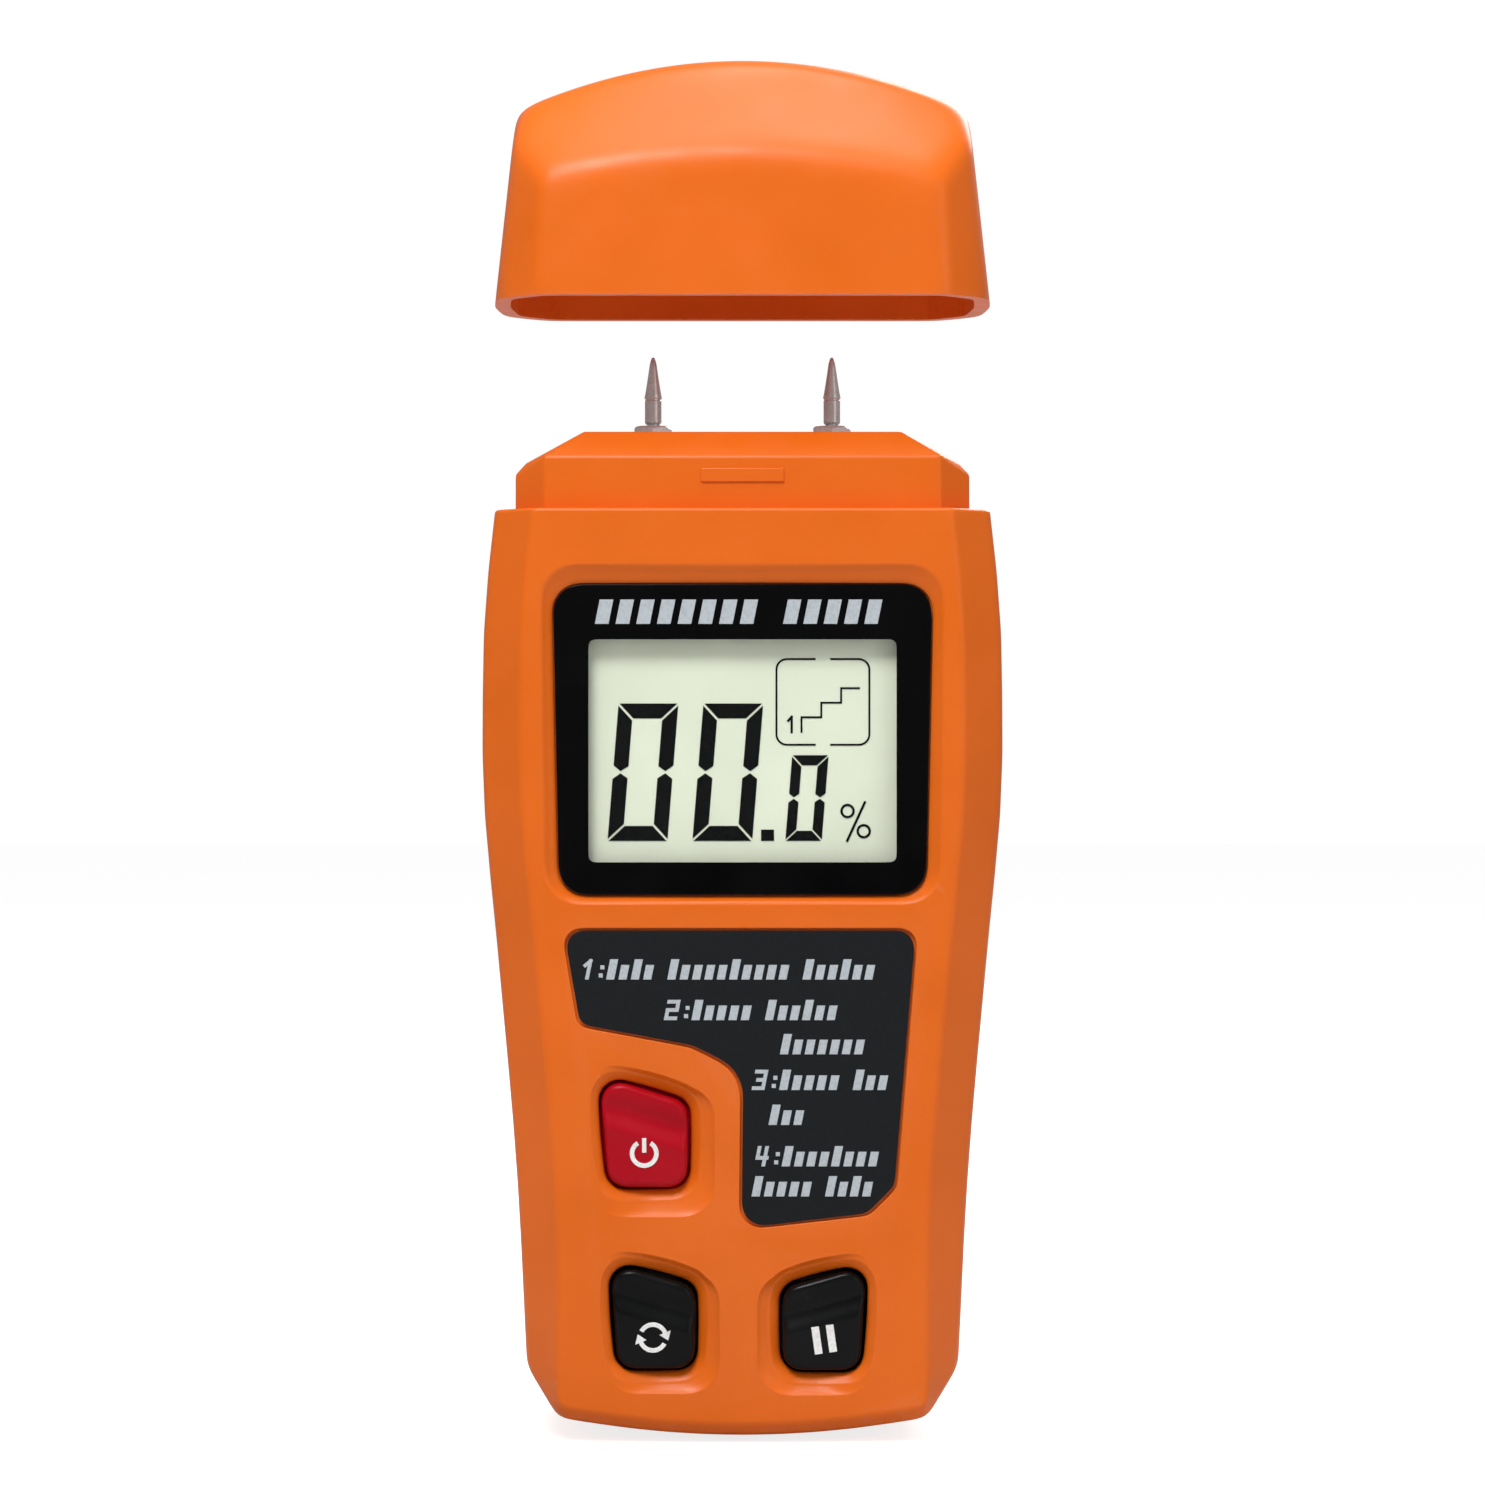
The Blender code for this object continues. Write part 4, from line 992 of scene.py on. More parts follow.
def cap_form(name, hull_bm, inset, rim):
    """A closed dome over the cap's hull, its creases softened, open at the rim."""
    tree = BVHTree.FromBMesh(hull_bm)
    low, high = CAP_LOW, CAP_HIGH
    size = high - low
    nx, ny, nz = (max(8, int(s / CAP_CELL)) for s in size)
    nx += nx % 2
    ny += ny % 2
    around = []
    for k in range(nx):
        around.append((-1 + 2 * k / nx, -1.0))
    for k in range(ny):
        around.append((1.0, -1 + 2 * k / ny))
    for k in range(nx):
        around.append((1 - 2 * k / nx, 1.0))
    for k in range(ny):
        around.append((-1.0, 1 - 2 * k / ny))
    centre = Vector(((low.x + high.x) / 2, (low.y + high.y) / 2, low.z + size.z * 0.35))

    def surface(u, v, w):
        way = Vector((u * size.x / 2, v * size.y / 2, (w - 0.35) * size.z))
        hit = tree.ray_cast(centre, way.normalized())[0]
        return hit

    bm = bmesh.new()
    rows = []
    for k in range(nz + 1):
        w = k / nz
        if k == 0:
            rows.append([bm.verts.new(side_hit(tree, centre, u * size.x, v * size.y, rim)) for u, v in around])
        else:
            rows.append([bm.verts.new(surface(u, v, w)) for u, v in around])
    for a, b in zip(rows, rows[1:]):
        for i in range(len(a)):
            j = (i + 1) % len(a)
            bm.faces.new((a[i], a[j], b[j], b[i]))
    crown = {}
    for index, (u, v) in enumerate(around):
        crown[(round(u * nx), round(v * ny))] = rows[-1][index]
    for i in range(-nx, nx + 1, 2):
        for j in range(-ny, ny + 1, 2):
            if (i, j) not in crown:
                crown[(i, j)] = bm.verts.new(surface(i / nx, j / ny, 1.0))
    for i in range(-nx, nx, 2):
        for j in range(-ny, ny, 2):
            bm.faces.new((crown[(i, j)], crown[(i + 2, j)], crown[(i + 2, j + 2)], crown[(i, j + 2)]))
    rim_verts = set(rows[0])
    for _ in range(CAP_SOFTEN):
        moved = {}
        for v in bm.verts:
            near = [e.other_vert(v).co for e in v.link_edges]
            if v in rim_verts:
                near = [e.other_vert(v).co for e in v.link_edges if e.other_vert(v) in rim_verts]
            mean = sum(near, Vector()) / len(near)
            moved[v] = v.co.lerp(mean, 0.5)
            if v in rim_verts:
                moved[v].z = v.co.z
        for v, place in moved.items():
            v.co = place
    bmesh.ops.recalc_face_normals(bm, faces=bm.faces)
    if inset:
        bm.normal_update()
        shift = {v: v.normal.copy() for v in bm.verts}
        for v, normal in shift.items():
            if v in rim_verts:
                normal = Vector((normal.x, normal.y, 0)).normalized()
            v.co -= normal * inset
    bm.faces.new(rows[0])
    bmesh.ops.recalc_face_normals(bm, faces=bm.faces)
    return new_object(name, bm), tree


def side_hit(tree, centre, x, y, z):
    start = Vector((centre.x, centre.y, z))
    return tree.ray_cast(start, Vector((x, y, 0)).normalized())[0]


def extended(bm, by):
    """The form drawn down below its rim, for a cutter."""
    low = min(v.co.z for v in bm.verts)
    for v in bm.verts:
        if v.co.z < low + 0.01:
            v.co.z -= by
    return bm


def grip_groove(tree, side, number):
    """A cutter along an S on the cap's end, one of a stack of three."""
    path = []
    for k in range(17):
        share = k / 16
        y = CAP_LOW.y + 8.0 + 7.6 * share
        up = 3.0 + 2.5 * number + 3.6 * share + 1.0 * math.sin(2 * math.pi * share)
        hit, normal = tree.ray_cast(Vector((side * 60.0, y, CAP_LOW.z + up)), Vector((-side, 0, 0)))[:2]
        path.append((hit + normal * 0.22, min(1.0, 6 * share + 0.25, 6 * (1 - share) + 0.25)))
    rings = []
    for i, (point, width) in enumerate(path):
        way = (path[min(i + 1, 16)][0] - path[max(i - 1, 0)][0]).normalized()
        out = Vector((side, 0, 0))
        out = (out - way * out.dot(way)).normalized()
        across = way.cross(out)
        rings.append([tuple(point + (out * math.cos(a) + across * math.sin(a)) * 0.55 * width)
                      for a in (2 * math.pi * k / 12 for k in range(12))])
    return lofted(f"grip_{side}_{number}", rings)


def cap():
    bm = node_mesh("cap")
    points = [v.co.copy() for v in bm.verts]
    bm.free()
    hull = hulled(extended_points(points))
    body, tree = cap_form("cap_body", hull, 0.0, CAP_LOW.z)
    inner, _ = cap_form("cap_hollow", hull, CAP_SKIN, CAP_LOW.z)
    hull.free()
    for v in inner.data.vertices:
        if v.co.z < (CAP_LOW.z + 0.01) * MM:
            v.co.z -= 2.0 * MM
    cut(body, inner)
    low, high = node_box("cap")
    for side in (-1, 1):
        for number in range(3):
            cut(body, grip_groove(tree, side, number))
    body.name = "pin_cap"
    even_normals(body, 50.0)
    return finished(body, "cap", "orange_plastic", "cap")


def extended_points(points):
    """The cap's points, with its rim drawn a little lower so that rays at the rim's height still hit."""
    low = min(p.z for p in points)
    rim = [p for p in points if p.z < low + 0.01]
    return points + [Vector((p.x, p.y, low - 0.5)) for p in rim]


# ---------------------------------------------------------------- keys

KEY_TILT = {"power": -17.0, "mode": -16.0, "hold": 15.5}
KEY_EDGE = 0.85


def key_face(name):
    """A key whose face has a valley under its upper edge, a soft ridge and a flat pad."""
    outline, centre = key_middle(name)
    angles = np.linspace(0, 2 * math.pi, 160, endpoint=False)
    radii = smoothed_ring(reach(outline, centre, angles), 2)
    low, high = node_box(name + "_key")
    front = low.y
    slope = math.radians(KEY_TILT[name])
    across = np.array([-math.sin(slope), math.cos(slope)])
    loop = centre + np.stack([np.cos(angles), np.sin(angles)], 1) * radii[:, None]
    top = np.max((loop - centre) @ across)

    def wave(points):
        down = top - (points - centre) @ across
        valley = 0.5 * np.exp(-((down - 3.3) / 1.35) ** 2)
        ridge = 0.16 * np.exp(-((down - 5.7) / 0.9) ** 2)
        return valley - ridge + 0.05 * smoothstep(down, 6.0, 12.0)

    rings = [flat_ring(loop, front + 2.9), flat_ring(loop, front + KEY_EDGE + 0.3)]
    for k in range(7):
        turn = math.pi / 2 * k / 6
        ring = centre + (loop - centre) * (1 - KEY_EDGE * (1 - math.cos(turn)) / radii)[:, None]
        rings.append(flat_ring(ring, front + KEY_EDGE * (1 - math.sin(turn)) + wave(ring) * math.sin(turn)))
    edge = np.array([(x, z) for x, _, z in rings[-1]])
    for k in range(1, 16):
        ring = centre + (edge - centre) * (1 - k / 16)
        rings.append(flat_ring(ring, front + wave(ring)))
    tip = (centre[0], front + float(wave(centre[None])[0]), centre[1])
    body = lofted(name + "_pad", rings, 50.0, True, tip)
    join(body, copy_of_node(name + "_key", keep_from=front + 2.65))
    even_normals(body, 50.0)
    finished(body, name + "_key", "red_key" if name == "power" else "black_key", name + "_key")
    return centre, front


STROKE_STEP = 0.004


def prisms(name, polygons, y, thick):
    """Thin plates, one for each convex or simple outline, in one mesh. Crossing strokes differ a little in height."""
    bm = bmesh.new()
    for index, polygon in enumerate(polygons):
        proud = thick + STROKE_STEP * (index % 5)
        front = [bm.verts.new((x, y - proud, z)) for x, z in polygon]
        back = [bm.verts.new((x, y, z)) for x, z in polygon]
        count = len(polygon)
        bm.faces.new(front)
        bm.faces.new(back[::-1])
        for i in range(count):
            j = (i + 1) % count
            bm.faces.new((front[j], front[i], back[i], back[j]))
    bmesh.ops.recalc_face_normals(bm, faces=bm.faces)
    bmesh.ops.triangulate(bm, faces=[f for f in bm.faces if len(f.verts) > 4])
    return new_object(name, bm, 30.0)


def bar(x0, z0, x1, z1, width):
    """A straight stroke with square ends."""
    along = Vector((x1 - x0, z1 - z0)).normalized()
    side = Vector((-along.y, along.x)) * width / 2
    a, b = Vector((x0, z0)), Vector((x1, z1))
    return [tuple(a - side), tuple(b - side), tuple(b + side), tuple(a + side)]


def arc_stroke(x, z, radius, width, start, end, steps=28):
    """A curved stroke, as short pieces that share their ends."""
    pieces = []
    for k in range(steps):
        a, b = (math.radians(start + (end - start) * m / steps) for m in (k, k + 1))
        inner, outer = radius - width / 2, radius + width / 2
        pieces.append([(x + inner * math.cos(a), z + inner * math.sin(a)),
                       (x + outer * math.cos(a), z + outer * math.sin(a)),
                       (x + outer * math.cos(b), z + outer * math.sin(b)),
                       (x + inner * math.cos(b), z + inner * math.sin(b))])
    return pieces


def rolled(polygons, centre, degrees):
    turn = math.radians(degrees)
    c, s = math.cos(turn), math.sin(turn)
    return [[(centre[0] + (x - centre[0]) * c - (z - centre[1]) * s,
              centre[1] + (x - centre[0]) * s + (z - centre[1]) * c) for x, z in polygon] for polygon in polygons]


def settle(obj, tree, front):
    """Lays a flat mark on the curved face behind it."""
    bm = bmesh.new()
    bm.from_mesh(obj.data)
    bmesh.ops.subdivide_edges(bm, edges=bm.edges, cuts=4, use_grid_fill=True)
    for v in bm.verts:
        hit = tree.ray_cast(Vector((v.co.x, -0.05, v.co.z)), Vector((0, 1, 0)))[0]
        lift = 0.08 if v.co.y < (front - 0.025) * MM else -0.05
        v.co.y = hit.y - lift * MM
    bm.to_mesh(obj.data)
    bm.free()


def key_marks(name, centre, front):
    """A generic mark printed on a key's pad: power, a cycle of modes, or hold."""
    x, z = centre[0], centre[1] - 2.2
    if name == "power":
        marks = arc_stroke(x, z, 1.5, 0.55, 122, 418, 36) + [bar(x, z + 0.1, x, z + 1.9, 0.52)]
        tilt = 0.0
    elif name == "mode":
        turn = 1.6
        marks = arc_stroke(x, z, turn, 0.55, 35, 165, 18) + arc_stroke(x, z, turn, 0.55, 215, 345, 18)
        for start in (35, 215):
            a = math.radians(start)
            tip = (x + turn * math.cos(a), z + turn * math.sin(a))
            way = (math.sin(a), -math.cos(a))
            out = (math.cos(a), math.sin(a))
            marks.append([(tip[0] - out[0] * 0.75, tip[1] - out[1] * 0.75), (tip[0] + out[0] * 0.75, tip[1] + out[1] * 0.75),
                          (tip[0] + way[0] * 1.05, tip[1] + way[1] * 1.05)])
        tilt = -13.0
    else:
        marks = [bar(x - 0.9, z - 1.7, x - 0.9, z + 1.7, 0.95), bar(x + 0.9, z - 1.7, x + 0.9, z + 1.7, 0.95)]
        tilt = 8.0
    obj = prisms(name + "_mark", rolled(marks, (x, z), tilt), front, 0.05)
    settle(obj, BVHTree.FromObject(bpy.data.objects[name + "_pad"], bpy.context.evaluated_depsgraph_get()), front)
    finished(obj, name + "_key", "red_key" if name == "power" else "black_key", looks=(WHITE_INK,))


# ---------------------------------------------------------------- display and printing

LCD_LEAN = 0.08


def window():
    """The pane: gloss black where it is printed from behind, clear over the display."""
    low, high = node_box("window_lens")
    glass_low, glass_high = node_box("lcd_glass")
    centre = np.array([(low.x + high.x) / 2, (low.z + high.z) / 2])
    outer = section_round("window_lens", (low.y + high.y) / 2, centre)
    outer = softened(evened(outer, 0.4), 3)
    half_x = (glass_high.x - glass_low.x) / 2 - 3.0
    view_low, view_high = glass_low.z + 3.0, glass_high.z - 5.5
    inner = np.array([(-half_x, view_low), (half_x, view_low), (half_x, view_high), (-half_x, view_high)])
    inner = softened(evened(inner, 0.3), 8)
    border = plate("window_border", outer, low.y, high.y, 0.14)
    opening = lofted("view_cut", [flat_ring(inner, low.y - 1.0), flat_ring(inner, high.y + 1.0)])
    cut(border, opening)
    even_normals(border, 30.0)
    finished(border, "meter", "window", "window_lens")
    clear = plate("window_clear", grown(inner, -0.02), low.y + 0.02, high.y - 0.02)
    finished(clear, "meter", "window", looks=(PANE,))
    return inner, low.y, (view_low, view_high, half_x)


def digit(x, z, width, tall, stroke, lean, parts="abcdef"):
    """Slanted seven-segment digit from its lower left corner."""
    mid = z + tall / 2
    gap = stroke * 0.07
    top, low = z + tall, z
    right = x + width
    chop = stroke * 0.45
    shapes = {
        "a": [(x + gap, top), (right - gap, top), (right - stroke - gap, top - stroke), (x + stroke + gap, top - stroke)],
        "d": [(x + gap, low), (x + stroke + gap, low + stroke), (right - stroke - gap, low + stroke), (right - gap, low)],
        "f": [(x, top - gap * 2), (x + stroke, top - stroke - gap * 2), (x + stroke, mid + chop * 0.9),
              (x + stroke / 2, mid + gap), (x, mid + chop)],
        "b": [(right, top - gap * 2), (right, mid + chop), (right - stroke / 2, mid + gap),
              (right - stroke, mid + chop * 0.9), (right - stroke, top - stroke - gap * 2)],
        "e": [(x, low + gap * 2), (x, mid - chop), (x + stroke / 2, mid - gap), (x + stroke, mid - chop * 0.9),
              (x + stroke, low + stroke + gap * 2)],
        "c": [(right, low + gap * 2), (right - stroke, low + stroke + gap * 2), (right - stroke, mid - chop * 0.9),
              (right - stroke / 2, mid - gap), (right, mid - chop)],
        "g": [(x + stroke * 0.6, mid), (x + stroke, mid + stroke / 2), (right - stroke, mid + stroke / 2),
              (right - stroke * 0.6, mid), (right - stroke, mid - stroke / 2), (x + stroke, mid - stroke / 2)],
    }
    return [[(px + (pz - z) * lean, pz) for px, pz in shapes[part]] for part in parts]


STROKES_OF = {
    "1": (((0.25, 0.75), (0.7, 1.0)), ((0.7, 1.0), (0.7, 0.0))),
    "2": (((0, 1), (1, 1)), ((1, 1), (1, 0.5)), ((1, 0.5), (0, 0.5)), ((0, 0.5), (0, 0)), ((0, 0), (1, 0))),
    "3": (((0, 1), (1, 1)), ((1, 1), (1, 0)), ((0, 0), (1, 0)), ((0.3, 0.5), (1, 0.5))),
    "4": (((0, 1), (0, 0.4)), ((0, 0.4), (1, 0.4)), ((0.8, 1), (0.8, 0))),
}


def numeral(number, x, z, width, tall, stroke, lean):
    """A numeral from plain strokes, between x and x + width."""
    out = []
    for (ax, az), (bx, bz) in STROKES_OF[number]:
        a = Vector((x + stroke / 2 + ax * (width - stroke), z + stroke / 2 + az * (tall - stroke)))
        b = Vector((x + stroke / 2 + bx * (width - stroke), z + stroke / 2 + bz * (tall - stroke)))
        more = (b - a).normalized() * stroke / 2
        a, b = a - more, b + more
        out.append([(px + (pz - z) * lean, pz) for px, pz in bar(a.x, a.y, b.x, b.y, stroke)])
    return out


def display(view, half_x):
    """The display panel and its dark segments, a reading of zero."""
    low, high = node_box("lcd_glass")
    loop = np.array([(low.x, low.z), (high.x, low.z), (high.x, high.z), (low.x, high.z)])
    panel = plate("lcd_panel", softened(evened(loop, 0.5), 1), low.y, high.y, 0.25)
    even_normals(panel, 30.0)
    finished(panel, "meter", "lcd", "lcd_glass")
    base, top = view
    unit = (top - base) / 27.5
    z = base + 2.6 * unit
    marks = []
    for x in (-16.7, -6.2):
        marks += digit(x * unit, z, 7.4 * unit, 17.0 * unit, 1.85 * unit, LCD_LEAN)
    marks.append(bar(2.3 * unit, z + 0.7 * unit, 3.9 * unit, z + 0.7 * unit, 1.4 * unit))
    marks += digit(5.3 * unit, z, 4.5 * unit, 10.6 * unit, 1.25 * unit, LCD_LEAN)
    x = 13.0 * unit
    marks += arc_stroke(x, z + 3.7 * unit, 0.75 * unit, 0.3 * unit, 0, 360, 20)
    marks += arc_stroke(x + 2.0 * unit, z + 1.2 * unit, 0.75 * unit, 0.3 * unit, 0, 360, 20)
    marks.append(bar(x - 0.1 * unit, z - 0.1 * unit, x + 2.2 * unit, z + 4.9 * unit, 0.3 * unit))
    marks += stair_icon(4.2 * unit, z + 11.9 * unit, unit)
    obj = prisms("lcd_segments", marks, low.y - 0.01, 0.05)
    finished(obj, "meter", "lcd", looks=(SEGMENT,))


def stair_icon(x, z, unit):
    """A broken rounded frame with rising steps and a small numeral in it."""
    wide, tall, line, turn = 11.5 * unit, 10.6 * unit, 0.24 * unit, 1.3 * unit
    mid = x + wide / 2
    gap = 0.9 * unit
    marks = []
    for cx, cz, start in ((x + wide - turn, z + tall - turn, 0), (x + turn, z + tall - turn, 90),
                          (x + turn, z + turn, 180), (x + wide - turn, z + turn, 270)):
        marks += arc_stroke(cx, cz, turn, line, start, start + 90, 8)
    for height in (z, z + tall):
        marks.append(bar(x + turn, height, mid - gap, height, line))
        marks.append(bar(mid + gap, height, x + wide - turn, height, line))
    for edge in (x, x + wide):
        marks.append(bar(edge, z + turn, edge, z + tall - turn, line))
    step_x, step_z = x + 3.1 * unit, z + 1.6 * unit
    run, rise = 2.45 * unit, 1.8 * unit
    for k in range(3):
        marks.append(bar(step_x, step_z - line / 2, step_x, step_z + rise + line / 2, line))
        marks.append(bar(step_x + line / 2, step_z + rise, step_x + run - line / 2, step_z + rise, line))
        step_x += run
        step_z += rise
    marks += numeral("1", x + 1.1 * unit, z + 1.4 * unit, 1.2 * unit, 2.2 * unit, 0.28 * unit, 0.0)
    return marks


def blocks(x, z, letters, tall, pitch, lean=0.2, small=0.72):
    """A word's worth of plain slanted blocks, the first one full height."""
    out = []
    for k in range(letters):
        full = k == 0 or (k * 5 + letters) % 7 == 0
        high = tall if full else tall * small
        left = x + k * pitch
        right = left + pitch * 0.66
        out.append([(left, z), (right, z), (right + high * lean, z + high), (left + high * lean, z + high)])
    return out


def title_marks(front, view_high):
    """Two runs of slanted blocks where a title would stand over the display."""
    low, high = node_box("window_lens")
    z = (view_high + high.z) / 2 - 1.5
    marks = blocks(-18.2, z, 8, 3.0, 2.55, 0.2, 1.0) + blocks(5.0, z, 5, 3.0, 2.5, 0.2, 1.0)
    obj = prisms("title_marks", marks, front + 0.01, 0.05)
    finished(obj, "meter", "window", looks=(INK,))


WORD_SPACE = 1.45
LABEL_ROWS = (
    (-20.2, 0.0, "1", (4, 10, 6)), (-9.7, -5.0, "2", (5, 6)), (4.6, -9.2, "", (7,)), (1.1, -13.6, "3", (5, 3)),
    (3.2, -17.9, "", (3,)), (1.4, -23.0, "4", (8,)), (1.1, -26.7, "", (5, 4)),
)


def facia():
    """The printed label: film, then numbered rows of blocks in place of wording."""
    low, high = node_box("facia_label")
    point = np.array([high.x - 2.5, high.z - 3.0])
    loop = softened(evened(section_round("facia_label", (low.y + high.y) / 2, point), 0.35), 3)
    sheet = plate("label_film", loop, low.y, high.y, 0.06)
    even_normals(sheet, 30.0)
    finished(sheet, "meter", "label", "facia_label")
    marks = []
    first = high.z - 6.0
    tall, pitch = 2.5, 1.52
    for x, drop, number, words in LABEL_ROWS:
        z = first + drop
        if number:
            marks += numeral(number, x, z, 1.6, tall, 0.46, 0.2)
            for dot in (0.5, 1.5):
                marks.append(bar(x + 2.4 + dot * 0.2, z + dot, x + 2.9 + dot * 0.2, z + dot, 0.5))
            x += 3.4
        for letters in words:
            marks += blocks(x, z, letters, tall, pitch)
            x += letters * pitch + WORD_SPACE
    obj = prisms("label_marks", marks, low.y + 0.01, 0.05)
    finished(obj, "meter", "label", looks=(INK,))


# ---------------------------------------------------------------- probes

def needle(side):
    low, high = node_box("needle_" + side)
    x = (low.x + high.x) / 2
    collar_top = node_box("terminal_" + side)[1].z
    radius = (high.x - low.x) / 2 - 0.05
    tip = high.z
    cone = tip - 5.1
    profile = [(0.8, low.z), (0.8, collar_top + 0.3), (radius - 0.12, collar_top + 0.3), (radius, collar_top + 0.5),
               (radius, cone - 0.45), (radius - 0.06, cone - 0.35), (radius - 0.06, cone - 0.22),
               (radius + 0.05, cone - 0.12), (radius + 0.05, cone + 0.02)]
    for k in range(1, 9):
        share = k / 8
        profile.append((radius + 0.02 - (radius - 0.4) * share ** 0.94, cone + 0.1 + 4.2 * share))
    profile += [(0.33, tip - 0.5), (0.24, tip - 0.18), (0.13, tip - 0.04), (0.04, tip)]
    obj = turned("needle_pin_" + side, profile, (x, 0.0, 0.0), 48, smooth=30.0)
    finished(obj, "meter", "nickel", "needle_" + side)


def terminal(side):
    """The hexagonal collar with turned chamfers, on its threaded stem."""
    node = "terminal_" + side
    low, high = node_box(node)
    x = (low.x + high.x) / 2
    head = node_box("front_shell")[1].z
    foot = head + 0.3
    across = (high.y - low.y) / 2
    phase = math.pi / 6
    corner = across if across > (high.x - low.x) / 2 else (high.x - low.x) / 2
    collar = turned(node + "_hex", ((corner, foot), (corner, high.z)), (x, 0.0, 0.0), 6, phase=phase)
    dome = turned(node + "_dome", ((corner * 0.93, foot - 0.1), (corner + 0.2, foot + 0.3), (corner + 0.2, high.z - 0.62),
                                   (corner * 0.8, high.z - 0.02), (corner * 0.76, high.z + 0.2)), (x, 0.0, 0.0), 48)
    boolean(collar, dome, "INTERSECT")
    stem = [(1.45, low.z)]
    turn = low.z + 0.3
    while turn < foot - 1.0:
        stem += [(1.7, turn), (1.7, turn + 0.12), (1.45, turn + 0.3), (1.45, turn + 0.38)]
        turn += 0.5
    stem += [(1.6, foot - 0.8), (1.6, foot + 0.4)]
    join(collar, turned(node + "_stem", stem, (x, 0.0, 0.0), 32))
    cut(collar, turned(node + "_bore", ((1.15, 118.4), (1.15, high.z - 0.15), (1.45, high.z + 0.3)), (x, 0.0, 0.0), 32))
    collar.name = "terminal_collar_" + side
    even_normals(collar, 25.0)
    finished(collar, "meter", "nickel", node)


# ---------------------------------------------------------------- battery door

def battery_door():
    """The door: rounded outer plate with finger ridges, on the node's own tabs and latch."""
    low, high = node_box("battery_door")
    outline = sections("battery_door", high.y - 0.9)[0]
    loop = softened(evened(outline, 0.4), 2)
    body = plate("door_plate", loop, high.y, high.y - 1.45, 0.35)
    join(body, copy_of_node("battery_door", keep_to=high.y - 1.2))
    mid = (low.x + high.x) / 2
    top = high.z - 4.2
    corners = np.array([(mid - 7.5, top - 9.5), (mid + 7.5, top - 9.5), (mid + 7.5, top), (mid - 7.5, top)])
    rim = softened(evened(corners, 0.25), 40)
    layers = ((0.7, high.y + 0.5), (0.0, high.y - 0.01), (-0.2, high.y - 0.3), (-0.5, high.y - 0.5))
    cut(body, lofted("door_dish", [flat_ring(grown(rim, by), y) for by, y in layers]))
    for k in range(5):
        z = top - 1.6 - 1.55 * k
        join(body, rounded_box(f"door_rib_{k}", (mid - 5.4, high.y - 0.95, z - 0.37),
                               (mid + 5.4, high.y - 0.03, z + 0.37), 0.22))
    body.name = "door_panel"
    even_normals(body)
    finished(body, "battery_door", "orange_plastic", "battery_door")


# ---------------------------------------------------------------- frame nodes that keep their shape

def dress_frame():
    """Procedural finishes on the CAD nodes whose own shape is shown."""
    for row in frame["record"]["subparts"]:
        obj = frame["nodes"][row["node"]]
        if obj.hide_render:
            continue
        for slot in obj.material_slots:
            slot.material = LOOKS[row["material_slot"]]
        if not obj.material_slots:
            obj.data.materials.append(LOOKS[row["material_slot"]])


# ---------------------------------------------------------------- studio

def floor_material():
    """A pale sheet that looks as bright as the backdrop but throws no extra light on the object."""
    n = Nodes("pale_floor")
    base = linear((196, 196, 196))
    n.wire(n.mix(n.spread(n.noise(60.0, 2.0), 0.0, 1.0), tuple(c * 0.985 for c in base[:3]) + (1.0,), base),
           n.shader.inputs["Base Color"])
    n.shader.inputs["Roughness"].default_value = 0.8
    n.shader.inputs["Emission Color"].default_value = (1.0, 1.0, 1.0, 1.0)
    n.wire(n.spread(n.add("ShaderNodeLightPath").outputs["Is Camera Ray"], 0.0, 0.8, 0.0, 1.0),
           n.shader.inputs["Emission Strength"])
    return n.material


def area_light(name, place, target, size, power, colour=(1.0, 1.0, 1.0)):
    data = bpy.data.lights.new(name, "AREA")
    data.shape = "DISK"
    data.size = size
    data.energy = power
    data.color = colour
    light = bpy.data.objects.new(name, data)
    light.location = place
    light.rotation_mode = "QUATERNION"
    light.rotation_quaternion = (Vector(target) - Vector(place)).to_track_quat("-Z", "Y")
    bpy.context.scene.collection.objects.link(light)


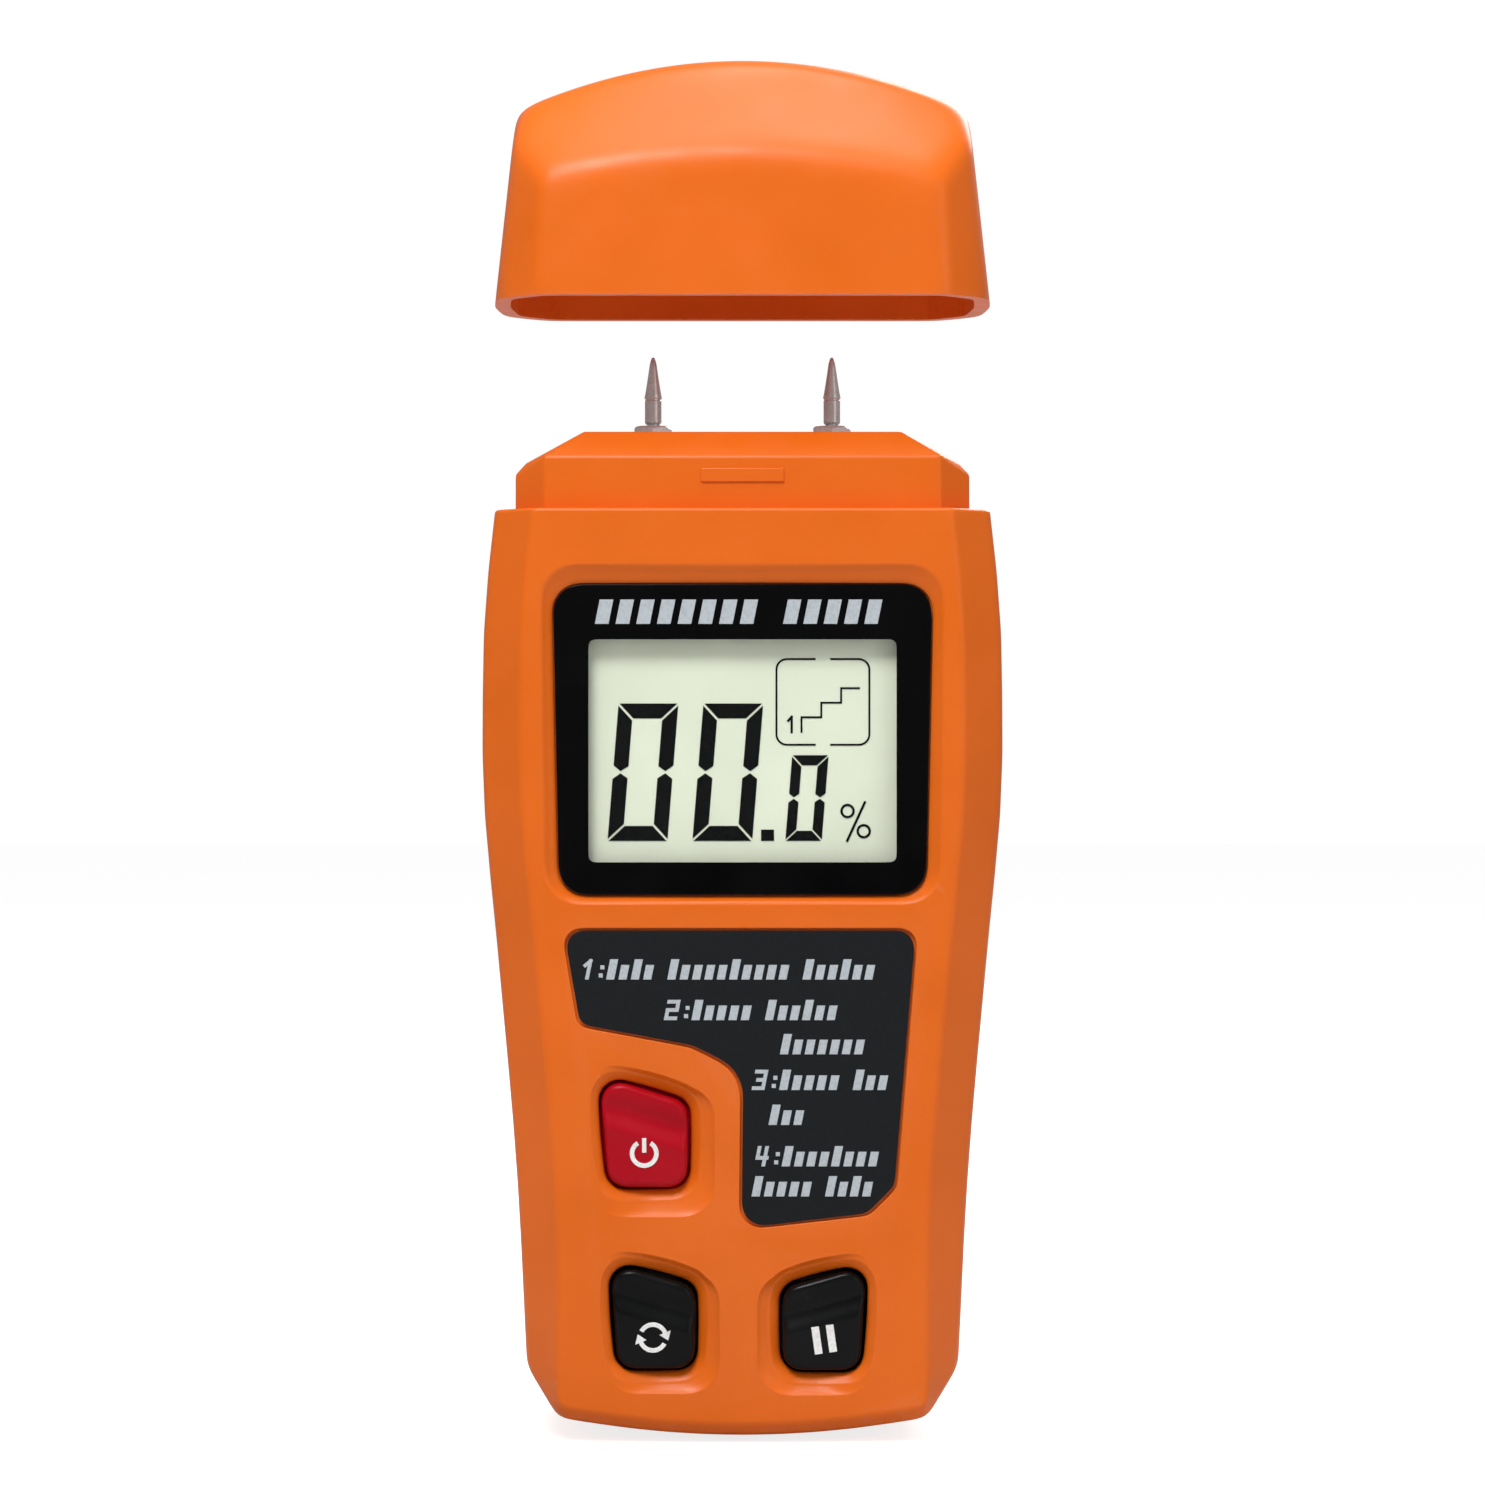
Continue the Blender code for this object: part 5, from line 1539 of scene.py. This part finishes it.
def studio():
    """A pale floor, soft light from all round and the camera square to the display."""
    low, high = CAD_BOX
    middle = (low + high) / 2
    bm = bmesh.new()
    bmesh.ops.create_grid(bm, x_segments=8, y_segments=8, size=3.0 / MM)
    floor = new_object("floor", bm)
    floor.location.z = low.z - 0.0002
    floor.data.materials.append(floor_material())
    world = bpy.data.worlds.new("studio")
    world.use_nodes = True
    tree = world.node_tree
    sky = tree.nodes["Background"]
    sky.inputs["Color"].default_value = (1.0, 1.0, 1.0, 1.0)
    seen = tree.nodes.new("ShaderNodeLightPath")
    level = tree.nodes.new("ShaderNodeMapRange")
    level.inputs["To Min"].default_value = 0.3
    level.inputs["To Max"].default_value = 1.0
    tree.links.new(seen.outputs["Is Camera Ray"], level.inputs["Value"])
    tree.links.new(level.outputs["Result"], sky.inputs["Strength"])
    bpy.context.scene.world = world
    area_light("key", (-0.13, -0.4, 0.6), middle, 0.26, 3.3)
    area_light("top", (0.05, -0.05, 0.9), middle, 0.35, 2.6)
    area_light("fill", (0.7, -0.7, 0.35), middle, 0.5, 1.0)
    area_light("back", (0.35, 0.7, 0.6), middle, 0.5, 5.0)
    camera = bpy.data.objects.new("camera", bpy.data.cameras.new("camera"))
    camera.data.lens = 100.0
    camera.data.clip_start = 0.01
    away = (high.z - low.z) * 1.06 / 2 / math.tan(math.atan(camera.data.sensor_width / 2 / camera.data.lens))
    camera.location = (middle.x, low.y - away, middle.z)
    camera.rotation_euler = (math.radians(90.0), 0.0, 0.0)
    bpy.context.scene.collection.objects.link(camera)
    bpy.context.scene.camera = camera
    bpy.context.scene.view_settings.view_transform = "Standard"


# ---------------------------------------------------------------- assembly

for startup in [o for o in bpy.context.scene.objects if o.name in ("Cube", "Light", "Camera")]:
    bpy.data.objects.remove(startup, do_unlink=True)

front_shell()
rear_shell()
cap()
for key_name in KEY_NAMES:
    key_marks(key_name, *key_face(key_name))
_, lens_front, (view_base, view_top, view_half) = window()
display((view_base, view_top), view_half)
title_marks(lens_front, view_top)
facia()
for pin_side in ("left", "right"):
    needle(pin_side)
    terminal(pin_side)
battery_door()
dress_frame()
studio()

bpy.context.view_layer.update()
